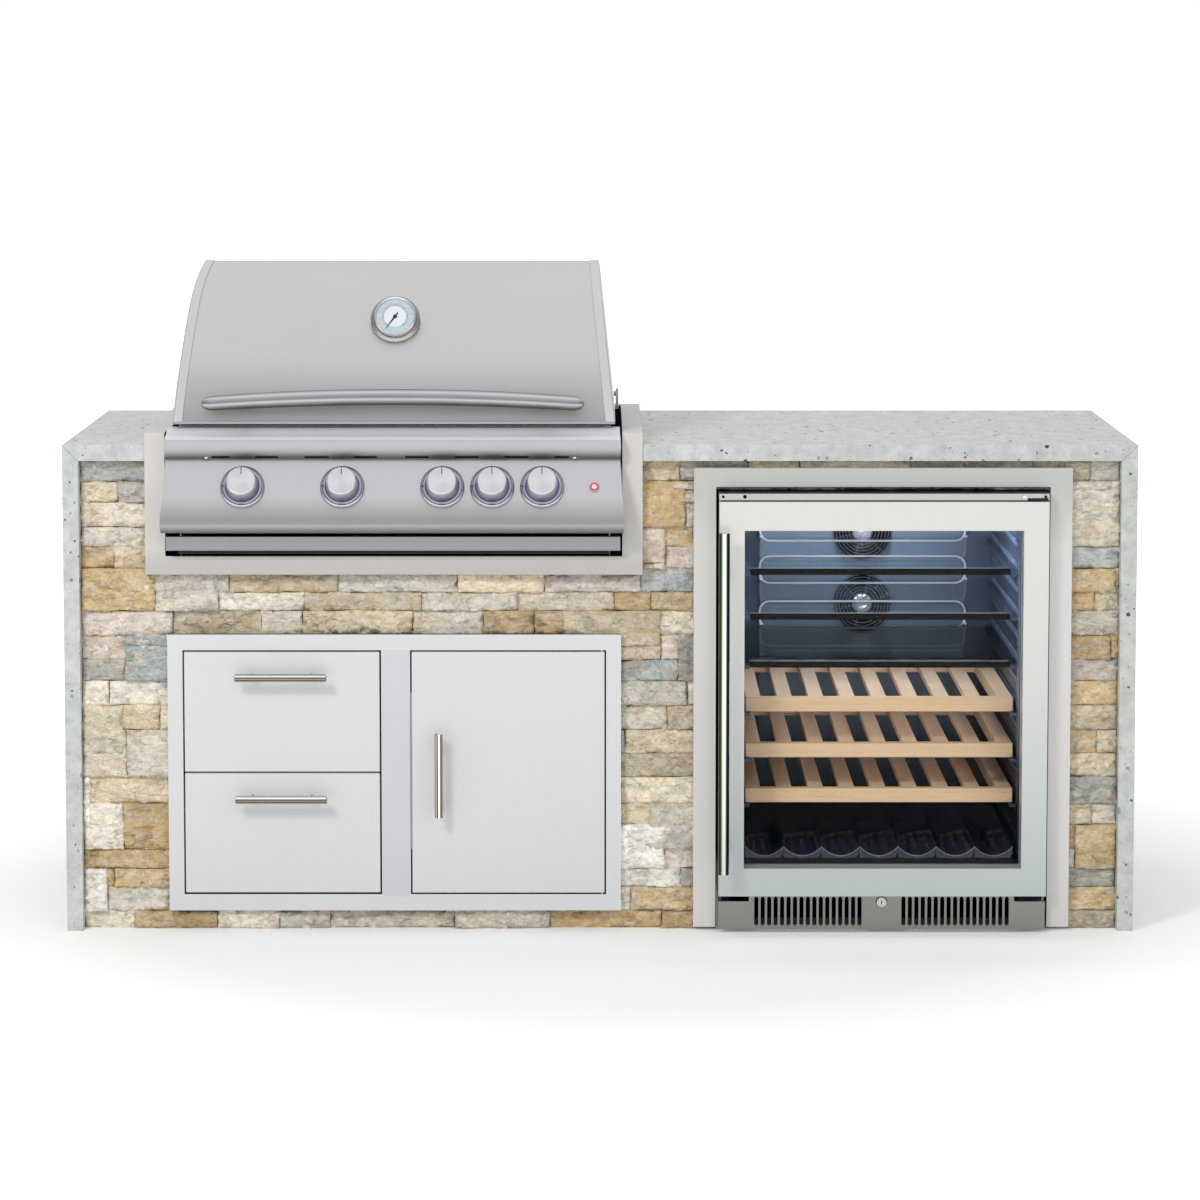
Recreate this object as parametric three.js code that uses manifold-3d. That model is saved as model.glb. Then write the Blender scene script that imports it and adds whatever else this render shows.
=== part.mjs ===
// Outdoor kitchen island: quartz and ledgestone body, built-in gas grill, door and drawer unit, refrigerator.
// Millimetres, +Z up, front towards -Y. While it is built, Y is 0 at the front edge of the countertop.
import * as THREE from "three";
import { mergeVertices } from "three/addons/utils/BufferGeometryUtils.js";
import Module from "manifold-3d";

const wasm = await Module();
wasm.setup();

// Fits shared by all pieces
const seatGap = 0.3;
const turningGap = 0.6;
const cutOverrun = 6;
const stepsPerMillimetre = 512;

// Island body, as long as the grill, the refrigerator and the plain lengths beside them
const leftMargin = 153.1;
const rightMargin = 120;
const unitsApart = 95.1;
const islandDepth = 700;
const islandHeight = 914;
const quartzThickness = 30;
const claddingSetback = 18;
const claddingRelief = 12;
const backerThickness = 12;
const stoneCourses = 21;
const stoneLength = 165;
const stoneLengthSpreadShare = 0.45;
const reliefShares = [0.2, 0.45, 0.7, 1];
const tallStoneShare = 0.16;
const angleLeg = 40;
const angleSheet = 4;
const postToFridge = 46.2;
const railInset = 1;
const footHeight = 12;
const footRadius = 18;
const notchGap = 0.5;
const rearVent = { width: 420, height: 170, centerZ: 300, border: 28, sheet: 4, louvre: 30, louvreSheet: 2 };
const rearVentLouvres = 5;
const louvrePitchDegrees = 35;

// Grill jacket
const jacketWidth = 923;
const jacketCurb = 23;
const jacketStrip = 38;
const jacketSill = 35;
const jacketFloorRise = 21;
const jacketSheet = 3;
const jacketRearSpace = 137;

// Firebox; what hangs in it is measured down from its top edge
const fireboxInset = 59.5;
const fireboxFront = 45;
const fireboxRearSpace = 53;
const fireboxRise = 9;
const fireboxHeight = 198;
const fireboxSheet = 3;
const drainWidth = 300;
const drainLength = 200;
const ledgeDepth = 10;
const ledgeSheet = 4;
const grateDrop = 41;
const tamerDrop = 55;
const earSheet = 6;
const earLength = 20;
const earFoot = 6;

// Hood
const hoodInset = 50.5;
const hoodRise = 8;
const hoodFront = 18;
const hoodRearInset = 2;
const hoodSheet = 3;
const hoodSkirt = { depth: 10, rise: 59 };
const hoodCrest = { toBack: 160, rise: 283 };
const hoodBackRise = 170;
const hoodEndLean = 30;
const hoodCap = { width: 18, sheet: 4, proud: 2 };
const hoodCurveSteps = 9;
const hingeInset = 8;
const hingeRise = 12;
const hingePin = { radius: 5, boss: 10 };
const hoodHandle = { endInset: 58.5, radius: 15, bow: 13, rise: 39, reach: 46, postRadius: 9, postInset: 72.5 };
const hoodHandleSides = 10;
const hoodHandleSteps = 12;

// Thermometer
const thermometerTiltDegrees = 25;
const thermometerShare = 0.3;
const gauge = { skirt: 46, rimInset: 7, rimWidth: 4, skirtRise: 12, dialRise: 25, rimHeight: 4, root: 30 };
const needle = { tipGap: 5, tail: 9, width: 3, sheet: 1.2, hub: 4 };
const needleRestDegrees = 145;

// Control panel; its upper points are measured down from the ledge, its lower ones up from its return
const panelInset = 42.5;
const panelFlare = 8;
const panelSheet = 3;
const panelLedge = { y: 12, rise: 7 };
const panelNose = { topY: -20, topDrop: 10, frontY: -34, frontDrop: 32 };
const panelCrease = { y: -20, drop: 54 };
const panelBulge = { y: -72, rise: 30, noseY: -77, noseRise: 17, underY: -66 };
const panelUnder = { y: -12, toTray: 10 };
const panelNoseSteps = 3;
const panelSlotHeight = 3;
const panelSlotRise = 3;
const panelSlotShares = [[-0.7947, -0.5036], [-0.3914, -0.0692], [0.0453, 0.7733]];
const controlDrop = 50;
const knobShares = [-1.5, -0.5, 0.5, 1, 1.5];
const buttonInset = 47;
const bezel = { apart: 10, lip: 4, hole: 12, rise: 8, step: 4 };
const knob = { inset: 11, taper: 3, height: 30, chamfer: 2, stemGap: 2.6, lift: 0.6 };
const stemRadius = 4;
const stemReach = 22;
const lightButton = { radius: 9, head: 8, proud: 3, depth: 14, flange: 12, flangeSheet: 2, travel: 2 };
const turnedSides = 20;
const knobSides = 16;

// Gas train and cooking system
const pipeSize = 16;
const pipeDepth = 45;
const valve = { width: 26, start: 9, end: 40 };
const burnerShares = [-1.5, -0.5, 0.5, 1.5];
const burner = { sideSpace: 126, width: 44, height: 30, front: 72, rearSpace: 24, drop: 47, neck: 12, neckFront: 22 };
const burnerShelf = 37;
const crossover = 16;
const tamer = { apart: 34, height: 38, sheet: 3, bar: 13 };
const grateGap = 1.5;
const grateRod = 8;
const grateRods = 9;
const grateBarInset = 20;
const rack = { sideSpace: 32, depth: 140, rearSpace: 30, rise: 134, rod: 6, legInset: 40 };
const rackRods = 13;
const grateCount = 3;

// Drip tray
const tray = { drop: 12, height: 22, clearance: 21, front: -30, sheet: 2, rearSpace: 30 };
const trayFront = { sideGap: 3.5, lift: 6.5, over: 11 };
const trayFrontThickness = 10;
const trayRunner = 15;
const traySideGap = 1.5;

// Door and drawer unit
const unitShift = -0.8;
const unitWidth = 845;
const unitBottom = 37.6;
const unitToJacket = 113;
const unitStrip = { side: 28, top: 29.6, bottom: 31 };
const unitFront = 6;
const unitSheet = 3;
const unitRearSpace = 117.7;
const unitPost = { left: -24.5, right: 29.5 };
const doorGap = 3;
const leafThickness = 20;
const leafPin = { inset: 5, radius: 2.5, length: 10 };
const drawerBox = { lift: 16, drop: 39.9, rearSpace: 20, sideGap: 9, sheet: 3 };
const runner = { width: 15, sheet: 4, front: 30 };
const barHandle = { radius: 7.5, reach: 34, postRadius: 5, length: 171, postSpacing: 110 };
const drawerHandleDrop = 44;
const doorHandleInset = 51;
const doorHandleLength = 159;
const barSides = 12;

// Refrigerator; its widths are measured in from its sides, its upper heights down from the counter
const fridgeWidth = 609.6;
const trim = { sideGap: 4.6, strip: 42, head: 36, headGap: 8.7, bottom: 6.5, front: 4, sheet: 3 };
const cabinet = { inset: 7.3, front: 24, rearGap: 3.7, bottom: 6.3, headroom: 58, wall: 37.5, rearWall: 39, roof: 56 };
const plinth = { wall: 17.5, floor: 20, ceiling: 104, cover: 20.3 };
const capStrip = { setback: 5, height: 12 };
const shelfLedge = { width: 16, sheet: 6, front: 60 };
const shelfRearSpace = 15;
const glassLevelShares = [0.842, 0.7104, 0.5695];
const woodLevelShares = [0.4301, 0.2953, 0.1622];
const fanLevelShares = [0.86372, 0.63915];
const fanWell = { radius: 59, depth: 14, shaft: 3 };
const fan = { hub: 16, tipGap: 7, depth: 9, chord: 18, blade: 2 };
const fanBlades = 7;
const fanPitchDegrees = 28;
const antiTip = { inset: 60, width: 40, depth: 10 };
const fridgeFoot = { inset: 40, width: 40 };
const door = { bottom: 72, topGap: 2.7, thickness: 45, sheet: 3, stile: 46.8, headRail: 53.9, footRail: 52.4 };
const doorHinge = { inset: 12, pin: 5, pinLength: 11, plate: 45, plateSheet: 9.4 };
const pane = { setback: 8, thickness: 16 };
const gasket = { depth: 9, inset: 14.8, lap: 1, footInset: 34, headInset: 11.3 };
const longHandle = { inset: 8, footInset: 49.5, headInset: 51.3, radius: 10, reach: 45, post: 7, postInset: 68 };
const toe = { bottom: 6.5, setback: 16, sheet: 3, gap: 0.7, notchGap: 4.7, notchDrop: 3 };
const toeReturn = { inset: 19.8, drop: 1.3 };
const toeSlots = 17;
const toeSlot = { width: 7.4, first: 41, endSpace: 14, footSpace: 5.5, headSpace: 2.3 };
const lock = { radius: 10, drop: 13.3, proud: 4, depth: 30, cam: 24, camWidth: 8 };
const glassShelf = { inset: 3, front: 85, sheet: 5, trimHeight: 12, trimDepth: 8 };
const guard = { inset: 60, low: 8, high: 42, wire: 5, rearSpace: 24 };
const woodShelf = { inset: 8, front: 75, height: 27, rail: 20, slatSheet: 13 };
const slatCount = 9;
const bottleTray = { inset: 8, front: 60, base: 8, crest: 26 };
const scallops = 7;
const scallopSteps = 6;
const compressor = { length: 200, rearSpace: 134, base: 4, baseDepth: 100, headroom: 9.7 };

// Colours
const stainless = new THREE.MeshStandardMaterial({ color: 0xb8b8bb, roughness: 0.35, metalness: 1 });
const paleSteel = new THREE.MeshStandardMaterial({ color: 0xdfe2e3, roughness: 0.45, metalness: 0.7 });
const greySheet = new THREE.MeshStandardMaterial({ color: 0xc9c6c3, roughness: 0.5, metalness: 0.5 });
const chrome = new THREE.MeshStandardMaterial({ color: 0xd9dadd, roughness: 0.15, metalness: 1 });
const quartz = new THREE.MeshStandardMaterial({ color: 0xcfd4d0, roughness: 0.4, metalness: 0 });
const ledgestone = new THREE.MeshStandardMaterial({ color: 0xc9b99a, roughness: 0.9, metalness: 0 });
const galvanised = new THREE.MeshStandardMaterial({ color: 0x8f9496, roughness: 0.6, metalness: 0.8 });
const castIron = new THREE.MeshStandardMaterial({ color: 0x3a3a3c, roughness: 0.7, metalness: 0.6 });
const brass = new THREE.MeshStandardMaterial({ color: 0xb08d3f, roughness: 0.4, metalness: 1 });
const whiteDial = new THREE.MeshStandardMaterial({ color: 0xe9eef2, roughness: 0.4, metalness: 0 });
const darkSteel = new THREE.MeshStandardMaterial({ color: 0x3a4656, roughness: 0.5, metalness: 0.3 });
const blackPlastic = new THREE.MeshStandardMaterial({ color: 0x15161a, roughness: 0.5, metalness: 0 });
const rubber = new THREE.MeshStandardMaterial({ color: 0x202022, roughness: 0.8, metalness: 0 });
const clearGlass = new THREE.MeshStandardMaterial({ color: 0xdfe8ea, roughness: 0.05, metalness: 0, opacity: 0.3 });
const beech = new THREE.MeshStandardMaterial({ color: 0xe3bd92, roughness: 0.6, metalness: 0 });

// Values worked out from the sizes above
const half = (size) => size / 2;
const radians = THREE.MathUtils.degToRad;
const trimInner = half(fridgeWidth) + trim.sideGap;
const trimWidth = 2 * (trimInner + trim.strip);
const islandWidth = leftMargin + jacketWidth + unitsApart + trimWidth + rightMargin;
const grillX = half(jacketWidth) + leftMargin - half(islandWidth);
const unitX = grillX + unitShift;
const fridgeX = half(islandWidth) - rightMargin - half(trimWidth);
const middlePostX = fridgeX - trimInner - postToFridge - angleLeg;
const insideX = half(islandWidth) - quartzThickness - seatGap;
const counterUnderside = islandHeight - quartzThickness;
const backerFront = claddingSetback + claddingRelief;
const frameFront = backerFront + backerThickness + seatGap;
const frameRear = islandDepth - frameFront;
const trimBack = claddingSetback - seatGap;
const sleeveHalf = half(jacketWidth) - jacketStrip;
const jacketFront = -jacketSheet - seatGap;
const jacketTop = islandHeight + jacketCurb;
const jacketRear = islandDepth - jacketRearSpace;
const fireboxTop = jacketTop + fireboxRise;
const fireboxFloor = fireboxTop - fireboxHeight;
const fireboxRear = jacketRear - fireboxRearSpace;
const fireboxWidth = jacketWidth - 2 * fireboxInset;
const fireboxInner = half(fireboxWidth) - fireboxSheet;
const grateSeat = fireboxTop - grateDrop;
const tamerSeat = grateSeat - tamerDrop;
const burnerZ = tamerSeat - burner.drop;
const burnerRear = fireboxRear - burner.rearSpace;
const burnerPitch = (fireboxWidth - 2 * burner.sideSpace) / (burnerShares.at(-1) - burnerShares[0]);
const trayTop = fireboxFloor - tray.drop;
const trayBottom = trayTop - tray.height;
const trayFrontTop = trayTop + trayFront.over;
const jacketFloor = trayBottom - tray.clearance;
const jacketBottom = jacketFloor - jacketFloorRise;
const hoodWidth = jacketWidth - 2 * hoodInset;
const hoodHalf = half(hoodWidth);
const hoodBottom = fireboxTop + hoodRise;
const hoodDepth = fireboxRear - hoodRearInset - hoodFront;
const hinge = { y: hoodFront + hoodDepth - hingeInset, z: hoodBottom + hingeRise };
const panelWidth = jacketWidth - 2 * panelInset;
const ledgeZ = jacketTop + panelLedge.rise;
const creaseZ = ledgeZ - panelCrease.drop;
const panelBottom = trayFrontTop + panelUnder.toTray;
const bulgeZ = panelBottom + panelBulge.rise;
const faceRun = panelCrease.y - panelBulge.y;
const faceDrop = creaseZ - bulgeZ;
const faceTilt = Math.atan2(faceRun, faceDrop);
const controlZ = creaseZ - controlDrop;
const controlY = panelCrease.y - controlDrop * (faceRun / faceDrop);
const knobPitch = burnerPitch;
const bezelRadius = half(half(knobPitch) - bezel.apart);
const buttonX = half(panelWidth) - buttonInset;
const unitTop = jacketBottom - unitToJacket;
const unitDepth = frameRear - angleLeg - unitRearSpace;
const unitOpening = {
  left: -half(unitWidth) + unitStrip.side,
  right: half(unitWidth) - unitStrip.side,
  bottom: unitBottom + unitStrip.bottom,
  top: unitTop - unitStrip.top,
};
const openingMiddle = half(unitOpening.bottom + unitOpening.top);
const cabinetWidth = fridgeWidth - 2 * cabinet.inset;
const cabinetTop = counterUnderside - cabinet.headroom;
const cabinetRear = frameRear - angleLeg - cabinet.rearGap;
const trimTop = cabinetTop + trim.headGap + trim.head;
const cavity = {
  width: cabinetWidth - 2 * cabinet.wall,
  rear: cabinetRear - cabinet.rearWall,
  floor: plinth.ceiling + plinth.cover,
  ceiling: cabinetTop - cabinet.roof,
};
const atLevel = (share) => cavity.floor + share * (cavity.ceiling - cavity.floor);
const glassLevels = glassLevelShares.map(atLevel);
const woodLevels = woodLevelShares.map(atLevel);
const fanLevels = fanLevelShares.map(atLevel);
const shelfRear = cavity.rear - shelfRearSpace;
const doorFront = cabinet.front - gasket.depth - door.thickness;
const capBottom = cabinetTop - capStrip.height;
const doorTop = capBottom - door.topGap;
const doorOpening = {
  width: fridgeWidth - 2 * door.stile,
  bottom: door.bottom + door.footRail,
  top: doorTop - door.headRail,
};
const fridgeAxis = { x: half(fridgeWidth) - doorHinge.inset, y: doorFront + doorHinge.inset };
const plateTop = door.bottom - seatGap;
const toeFront = doorFront + toe.setback;
const toeTop = door.bottom - toe.gap;
const toeNotchBottom = plateTop - doorHinge.plateSheet - toe.notchDrop;
const lockZ = toeTop - lock.drop;

// Rounds corners to a fine grid, so that faces meant to lie in one plane do.
const onGrid = (corners) => Float32Array.from(corners, (value) => Math.round(value * stepsPerMillimetre)
  / stepsPerMillimetre);

// Turns a closed three.js geometry into a solid that can be joined and cut.
function solid(geometry) {
  const corners = new THREE.BufferAttribute(onGrid(geometry.getAttribute("position").array), 3);
  const bare = new THREE.BufferGeometry().setAttribute("position", corners);
  if (geometry.index) bare.setIndex(geometry.index);
  const merged = mergeVertices(bare);
  const vertProperties = merged.attributes.position.array;
  const triVerts = new Uint32Array(merged.index.array);
  return new wasm.Manifold(new wasm.Mesh({ numProp: 3, vertProperties, triVerts }));
}

function toGeometry(body) {
  const mesh = body.getMesh();
  const geometry = new THREE.BufferGeometry();
  geometry.setAttribute("position", new THREE.BufferAttribute(onGrid(mesh.vertProperties), 3));
  geometry.setIndex(new THREE.BufferAttribute(new Uint32Array(mesh.triVerts), 1));
  return geometry;
}

const join = (pieces) => toGeometry(pieces.map(solid).reduce((sum, next) => sum.add(next)));
const cut = (piece, tools) => toGeometry(tools.map(solid).reduce((rest, tool) => rest.subtract(tool), solid(piece)));
const keepInside = (piece, room) => toGeometry(solid(piece).intersect(solid(room)));

// A block given by its two ends along each axis.
function block([x0, x1], [y0, y1], [z0, z1]) {
  const geometry = new THREE.BoxGeometry(Math.abs(x1 - x0), Math.abs(y1 - y0), Math.abs(z1 - z0));
  return geometry.translate(half(x0 + x1), half(y0 + y1), half(z0 + z1));
}

// A block that is centred on X.
const centered = (width, ySpan, zSpan) => block([-half(width), half(width)], ySpan, zSpan);

// The same block on the left and on the right of X = 0.
function pair([x0, x1], ySpan, zSpan) {
  return [block([x0, x1], ySpan, zSpan), block([-x1, -x0], ySpan, zSpan)];
}

const toShape = (points) => new THREE.Shape(points.map(([x, y]) => new THREE.Vector2(x, y)));

// An outline in Y and Z, drawn out along X between two ends.
function drawnAlongX(points, [x0, x1]) {
  const geometry = new THREE.ExtrudeGeometry(toShape(points), { depth: x1 - x0, bevelEnabled: false });
  const basis = new THREE.Matrix4().makeBasis(
    new THREE.Vector3(0, 1, 0), new THREE.Vector3(0, 0, 1), new THREE.Vector3(1, 0, 0));
  return geometry.applyMatrix4(basis).translate(x0, 0, 0);
}

// An outline in X and Z, drawn out along Y between two ends.
function drawnAlongY(shape, [y0, y1]) {
  const geometry = new THREE.ExtrudeGeometry(shape, { depth: y1 - y0, curveSegments: 1, bevelEnabled: false });
  const basis = new THREE.Matrix4().makeBasis(
    new THREE.Vector3(1, 0, 0), new THREE.Vector3(0, 0, 1), new THREE.Vector3(0, -1, 0));
  return geometry.applyMatrix4(basis).translate(0, y1, 0);
}

// A turned piece about Z from a list of radius and height pairs that starts and ends on the axis.
function turned(profile, sides) {
  const points = profile.map(([radius, height]) => new THREE.Vector2(radius, height));
  return new THREE.LatheGeometry(points, sides).rotateX(Math.PI / 2);
}

const disc = (radius, [z0, z1], sides) => turned([[0, z0], [radius, z0], [radius, z1], [0, z1]], sides);

// A round bar along X, Y or Z through a point of the two other axes.
function rod(axis, [from, to], [a, b], radius, sides) {
  const bar = disc(radius, [from, to], sides);
  if (axis === "x") return bar.rotateY(Math.PI / 2).translate(0, a, b);
  if (axis === "y") return bar.rotateX(-Math.PI / 2).translate(a, 0, b);
  return bar.translate(a, b, 0);
}

const place = (piece, [x, y, z], turnX) => piece.rotateX(turnX).translate(x, y, z);

// Moves each corner of a piece along X by a function of the corner.
function shiftedAlongX(piece, shift) {
  const corners = piece.getAttribute("position");
  for (let index = 0; index < corners.count; index += 1) {
    const corner = new THREE.Vector3().fromBufferAttribute(corners, index);
    corners.setX(index, corner.x + Math.sign(corner.x) * shift(corner));
  }
  return piece;
}

// Moves an open line sideways; a positive distance moves it to the left of its direction.
function offsetLine(points, distance) {
  return points.map(([x, y], index) => {
    const before = points[Math.max(index - 1, 0)];
    const after = points[Math.min(index + 1, points.length - 1)];
    const along = new THREE.Vector2(after[0] - before[0], after[1] - before[1]).normalize();
    return [x - along.y * distance, y + along.x * distance];
  });
}

const model = new THREE.Group();
const grill = new THREE.Group();
const unit = new THREE.Group();
const fridge = new THREE.Group();
grill.position.x = grillX;
unit.position.x = unitX;
fridge.position.x = fridgeX;
model.add(grill, unit, fridge);

function addPiece(group, name, geometry, material) {
  const mesh = new THREE.Mesh(geometry, material);
  mesh.name = name;
  group.add(mesh);
  return mesh;
}

// Quartz countertop with mitred ends and the notch for the grill
const outer = half(islandWidth);
const counterOutline = toShape([
  [-outer, islandHeight],
  [-outer + quartzThickness, counterUnderside],
  [outer - quartzThickness, counterUnderside],
  [outer, islandHeight],
]);
const notchHalf = sleeveHalf + jacketSheet + notchGap;
const grillNotch = block(
  [grillX - notchHalf, grillX + notchHalf],
  [-cutOverrun, jacketRear + notchGap],
  [counterUnderside - cutOverrun, islandHeight + cutOverrun]);
addPiece(model, "countertop", cut(drawnAlongY(counterOutline, [0, islandDepth]), [grillNotch]), quartz);

// Waterfall side slabs, mitred to the countertop
function sideSlab(side) {
  const innerX = outer - quartzThickness;
  const mitreGap = seatGap * Math.SQRT2;
  const points = [[outer, 0], [outer, islandHeight - mitreGap], [innerX, counterUnderside - mitreGap], [innerX, 0]];
  return drawnAlongY(toShape(points.map(([x, z]) => [side * x, z])), [0, islandDepth]);
}
addPiece(model, "side_slab_left", sideSlab(-1), quartz);
addPiece(model, "side_slab_right", sideSlab(1), quartz);

// Openings that the built-in units need in the front cladding
const claddingTop = counterUnderside - seatGap;
const throughFront = [claddingSetback - cutOverrun, frameFront + cutOverrun];
const grillOpening = block(
  [grillX - notchHalf, grillX + notchHalf],
  throughFront,
  [jacketFloor - notchGap, claddingTop + cutOverrun]);
const unitCut = block(
  [unitX + unitOpening.left - unitSheet - notchGap, unitX + unitOpening.right + unitSheet + notchGap],
  throughFront,
  [unitOpening.bottom - unitSheet - notchGap, unitOpening.top + unitSheet + notchGap]);
const fridgeCut = block(
  [fridgeX - trimInner, fridgeX + trimInner],
  throughFront,
  [-cutOverrun, trimTop - trim.head]);

// Ledgestone: rows of split stones of uneven length and depth on a cement backer board
function randomShares(seed) {
  let state = seed;
  return () => {
    state = (state * 16807) % 2147483647;
    return state / 2147483647;
  };
}

function ledgestoneFront() {
  const next = randomShares(20);
  const courseHeight = claddingTop / stoneCourses;
  const stones = [];
  for (let course = 0; course < stoneCourses; course += 1) {
    let x = -insideX - stoneLength * next();
    while (x < insideX) {
      const length = stoneLength * (1 - stoneLengthSpreadShare + 2 * stoneLengthSpreadShare * next());
      const isTall = next() < tallStoneShare && course + 1 < stoneCourses;
      const reliefShare = isTall ? 0 : reliefShares[Math.floor(next() * reliefShares.length)];
      const face = claddingSetback + claddingRelief * reliefShare;
      const span = [Math.max(x, -insideX), Math.min(x + length, insideX)];
      const rise = [course * courseHeight, (course + (isTall ? 2 : 1)) * courseHeight];
      if (span[1] > span[0] && face < backerFront) stones.push(block(span, [face, backerFront], rise));
      x += length;
    }
  }
  const backer = block([-insideX, insideX], [backerFront, backerFront + backerThickness], [0, claddingTop]);
  return cut(join([backer, ...stones]), [grillOpening, unitCut, fridgeCut]);
}
addPiece(model, "stone_front", ledgestoneFront(), ledgestone);

// Rear cladding: straight stone courses on their board, with the opening for the vent panel
function ledgestoneRear() {
  const courseHeight = claddingTop / stoneCourses;
  const board = islandDepth - backerFront;
  const pieces = [block([-insideX, insideX], [board - backerThickness, board], [0, claddingTop])];
  for (let course = 0; course < stoneCourses; course += 1) {
    const reliefShare = reliefShares[course % 2];
    const face = islandDepth - claddingSetback - claddingRelief * reliefShare;
    pieces.push(block([-insideX, insideX], [board, face], [course * courseHeight, (course + 1) * courseHeight]));
  }
  const ventHalf = half(rearVent.width) - rearVent.border + rearVent.sheet;
  const ventRise = half(rearVent.height) - rearVent.border + rearVent.sheet;
  const ventOpening = block(
    [grillX - ventHalf, grillX + ventHalf],
    [board - backerThickness - cutOverrun, islandDepth],
    [rearVent.centerZ - ventRise, rearVent.centerZ + ventRise]);
  return cut(join(pieces), [ventOpening]);
}
addPiece(model, "stone_rear", ledgestoneRear(), ledgestone);

// Louvred vent panel of the gas compartment, screwed over its opening in the rear
function ventPanel() {
  const { width, height, centerZ, border, sheet, louvre, louvreSheet } = rearVent;
  const seat = islandDepth - claddingSetback - claddingRelief * Math.min(...reliefShares) + seatGap;
  const openWidth = width - 2 * border;
  const openHeight = height - 2 * border;
  const plate = centered(width, [seat, seat + sheet], [centerZ - half(height), centerZ + half(height)]);
  const hole = centered(openWidth, [seat - cutOverrun, seat + sheet + cutOverrun],
    [centerZ - half(openHeight), centerZ + half(openHeight)]);
  const pieces = [cut(plate, [hole])];
  for (let index = 0; index < rearVentLouvres; index += 1) {
    const z = centerZ + openHeight * ((index + 0.5) / rearVentLouvres - 0.5);
    const blade = centered(openWidth + sheet, [-half(louvre), half(louvre)], [-half(louvreSheet), half(louvreSheet)]);
    pieces.push(place(blade, [0, seat - sheet, z], radians(-louvrePitchDegrees)));
  }
  const room = block([-half(width), half(width)], [seat - louvre, seat + sheet], [0, islandHeight]);
  return keepInside(join(pieces), room);
}
addPiece(model, "rear_vent", ventPanel(), stainless).position.x = grillX;

// Welded frame of steel angle with a levelling foot under each post
function angleBar(axis, [start, end], [a, b], [legA, legB]) {
  const [sheetA, sheetB] = [a + legA * angleSheet, b + legB * angleSheet];
  const [tipA, tipB] = [a + legA * angleLeg, b + legB * angleLeg];
  const outline = [[a, b], [tipA, b], [tipA, sheetB], [sheetA, sheetB], [sheetA, tipB], [a, tipB]];
  if (axis === "x") return drawnAlongX(outline, [start, end]);
  if (axis === "y") return drawnAlongY(toShape(outline), [start, end]);
  const post = new THREE.ExtrudeGeometry(toShape(outline), { depth: end - start, bevelEnabled: false });
  return post.translate(0, 0, start);
}

function steelFrame() {
  const top = claddingTop;
  const grillSide = grillX + half(jacketWidth);
  const fridgeSide = fridgeX + trimInner;
  const middleEnd = middlePostX + angleLeg - railInset;
  const acrossTop = top - railInset;
  const acrossBottom = footHeight + railInset;
  const alongTop = acrossTop - railInset;
  const alongBottom = acrossBottom + railInset;
  const railX = insideX - railInset;
  const rows = [[frameFront, 1], [frameRear, -1]];
  const bars = [];
  for (const [x, leg] of [[-insideX, 1], [middlePostX, 1], [insideX, -1]]) {
    for (const [y, legY] of rows) {
      bars.push(angleBar("z", [footHeight, top], [x, y], [leg, legY]));
      bars.push(rod("z", [0, footHeight + half(angleSheet)], [x + leg * footRadius, y + legY * footRadius],
        footRadius, barSides));
    }
    const span = [frameFront + half(angleSheet), frameRear - half(angleSheet)];
    bars.push(angleBar("y", span, [x + leg * railInset, alongTop], [leg, -1]));
    bars.push(angleBar("y", span, [x + leg * railInset, alongBottom], [leg, 1]));
  }
  const [front, rear] = rows.map(([y, legY]) => y + legY * railInset);
  const grillSeat = jacketFloor - seatGap;
  bars.push(
    angleBar("x", [-railX, railX], [rear, acrossTop], [-1, -1]),
    angleBar("x", [-railX, railX], [rear, acrossBottom], [-1, 1]),
    angleBar("x", [grillSide, railX], [front, acrossTop], [1, -1]),
    angleBar("x", [-railX, middleEnd], [front, acrossBottom], [1, 1]),
    angleBar("x", [fridgeSide, railX], [front, acrossBottom], [1, 1]),
    angleBar("x", [-railX, middleEnd], [front, grillSeat], [1, -1]),
    angleBar("x", [-railX, middleEnd], [rear, grillSeat], [-1, -1]));
  const bearerSpan = [frameFront + angleSheet, frameRear - angleSheet];
  for (const side of [-1, 1]) {
    const unitBearerX = unitX + side * (unitOpening.right - angleLeg);
    const unitSeat = unitOpening.bottom - unitSheet - seatGap;
    bars.push(angleBar("y", bearerSpan, [unitBearerX, unitSeat], [1, -1]));
  }
  return join(bars);
}
addPiece(model, "steel_frame", steelFrame(), galvanised);

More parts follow.
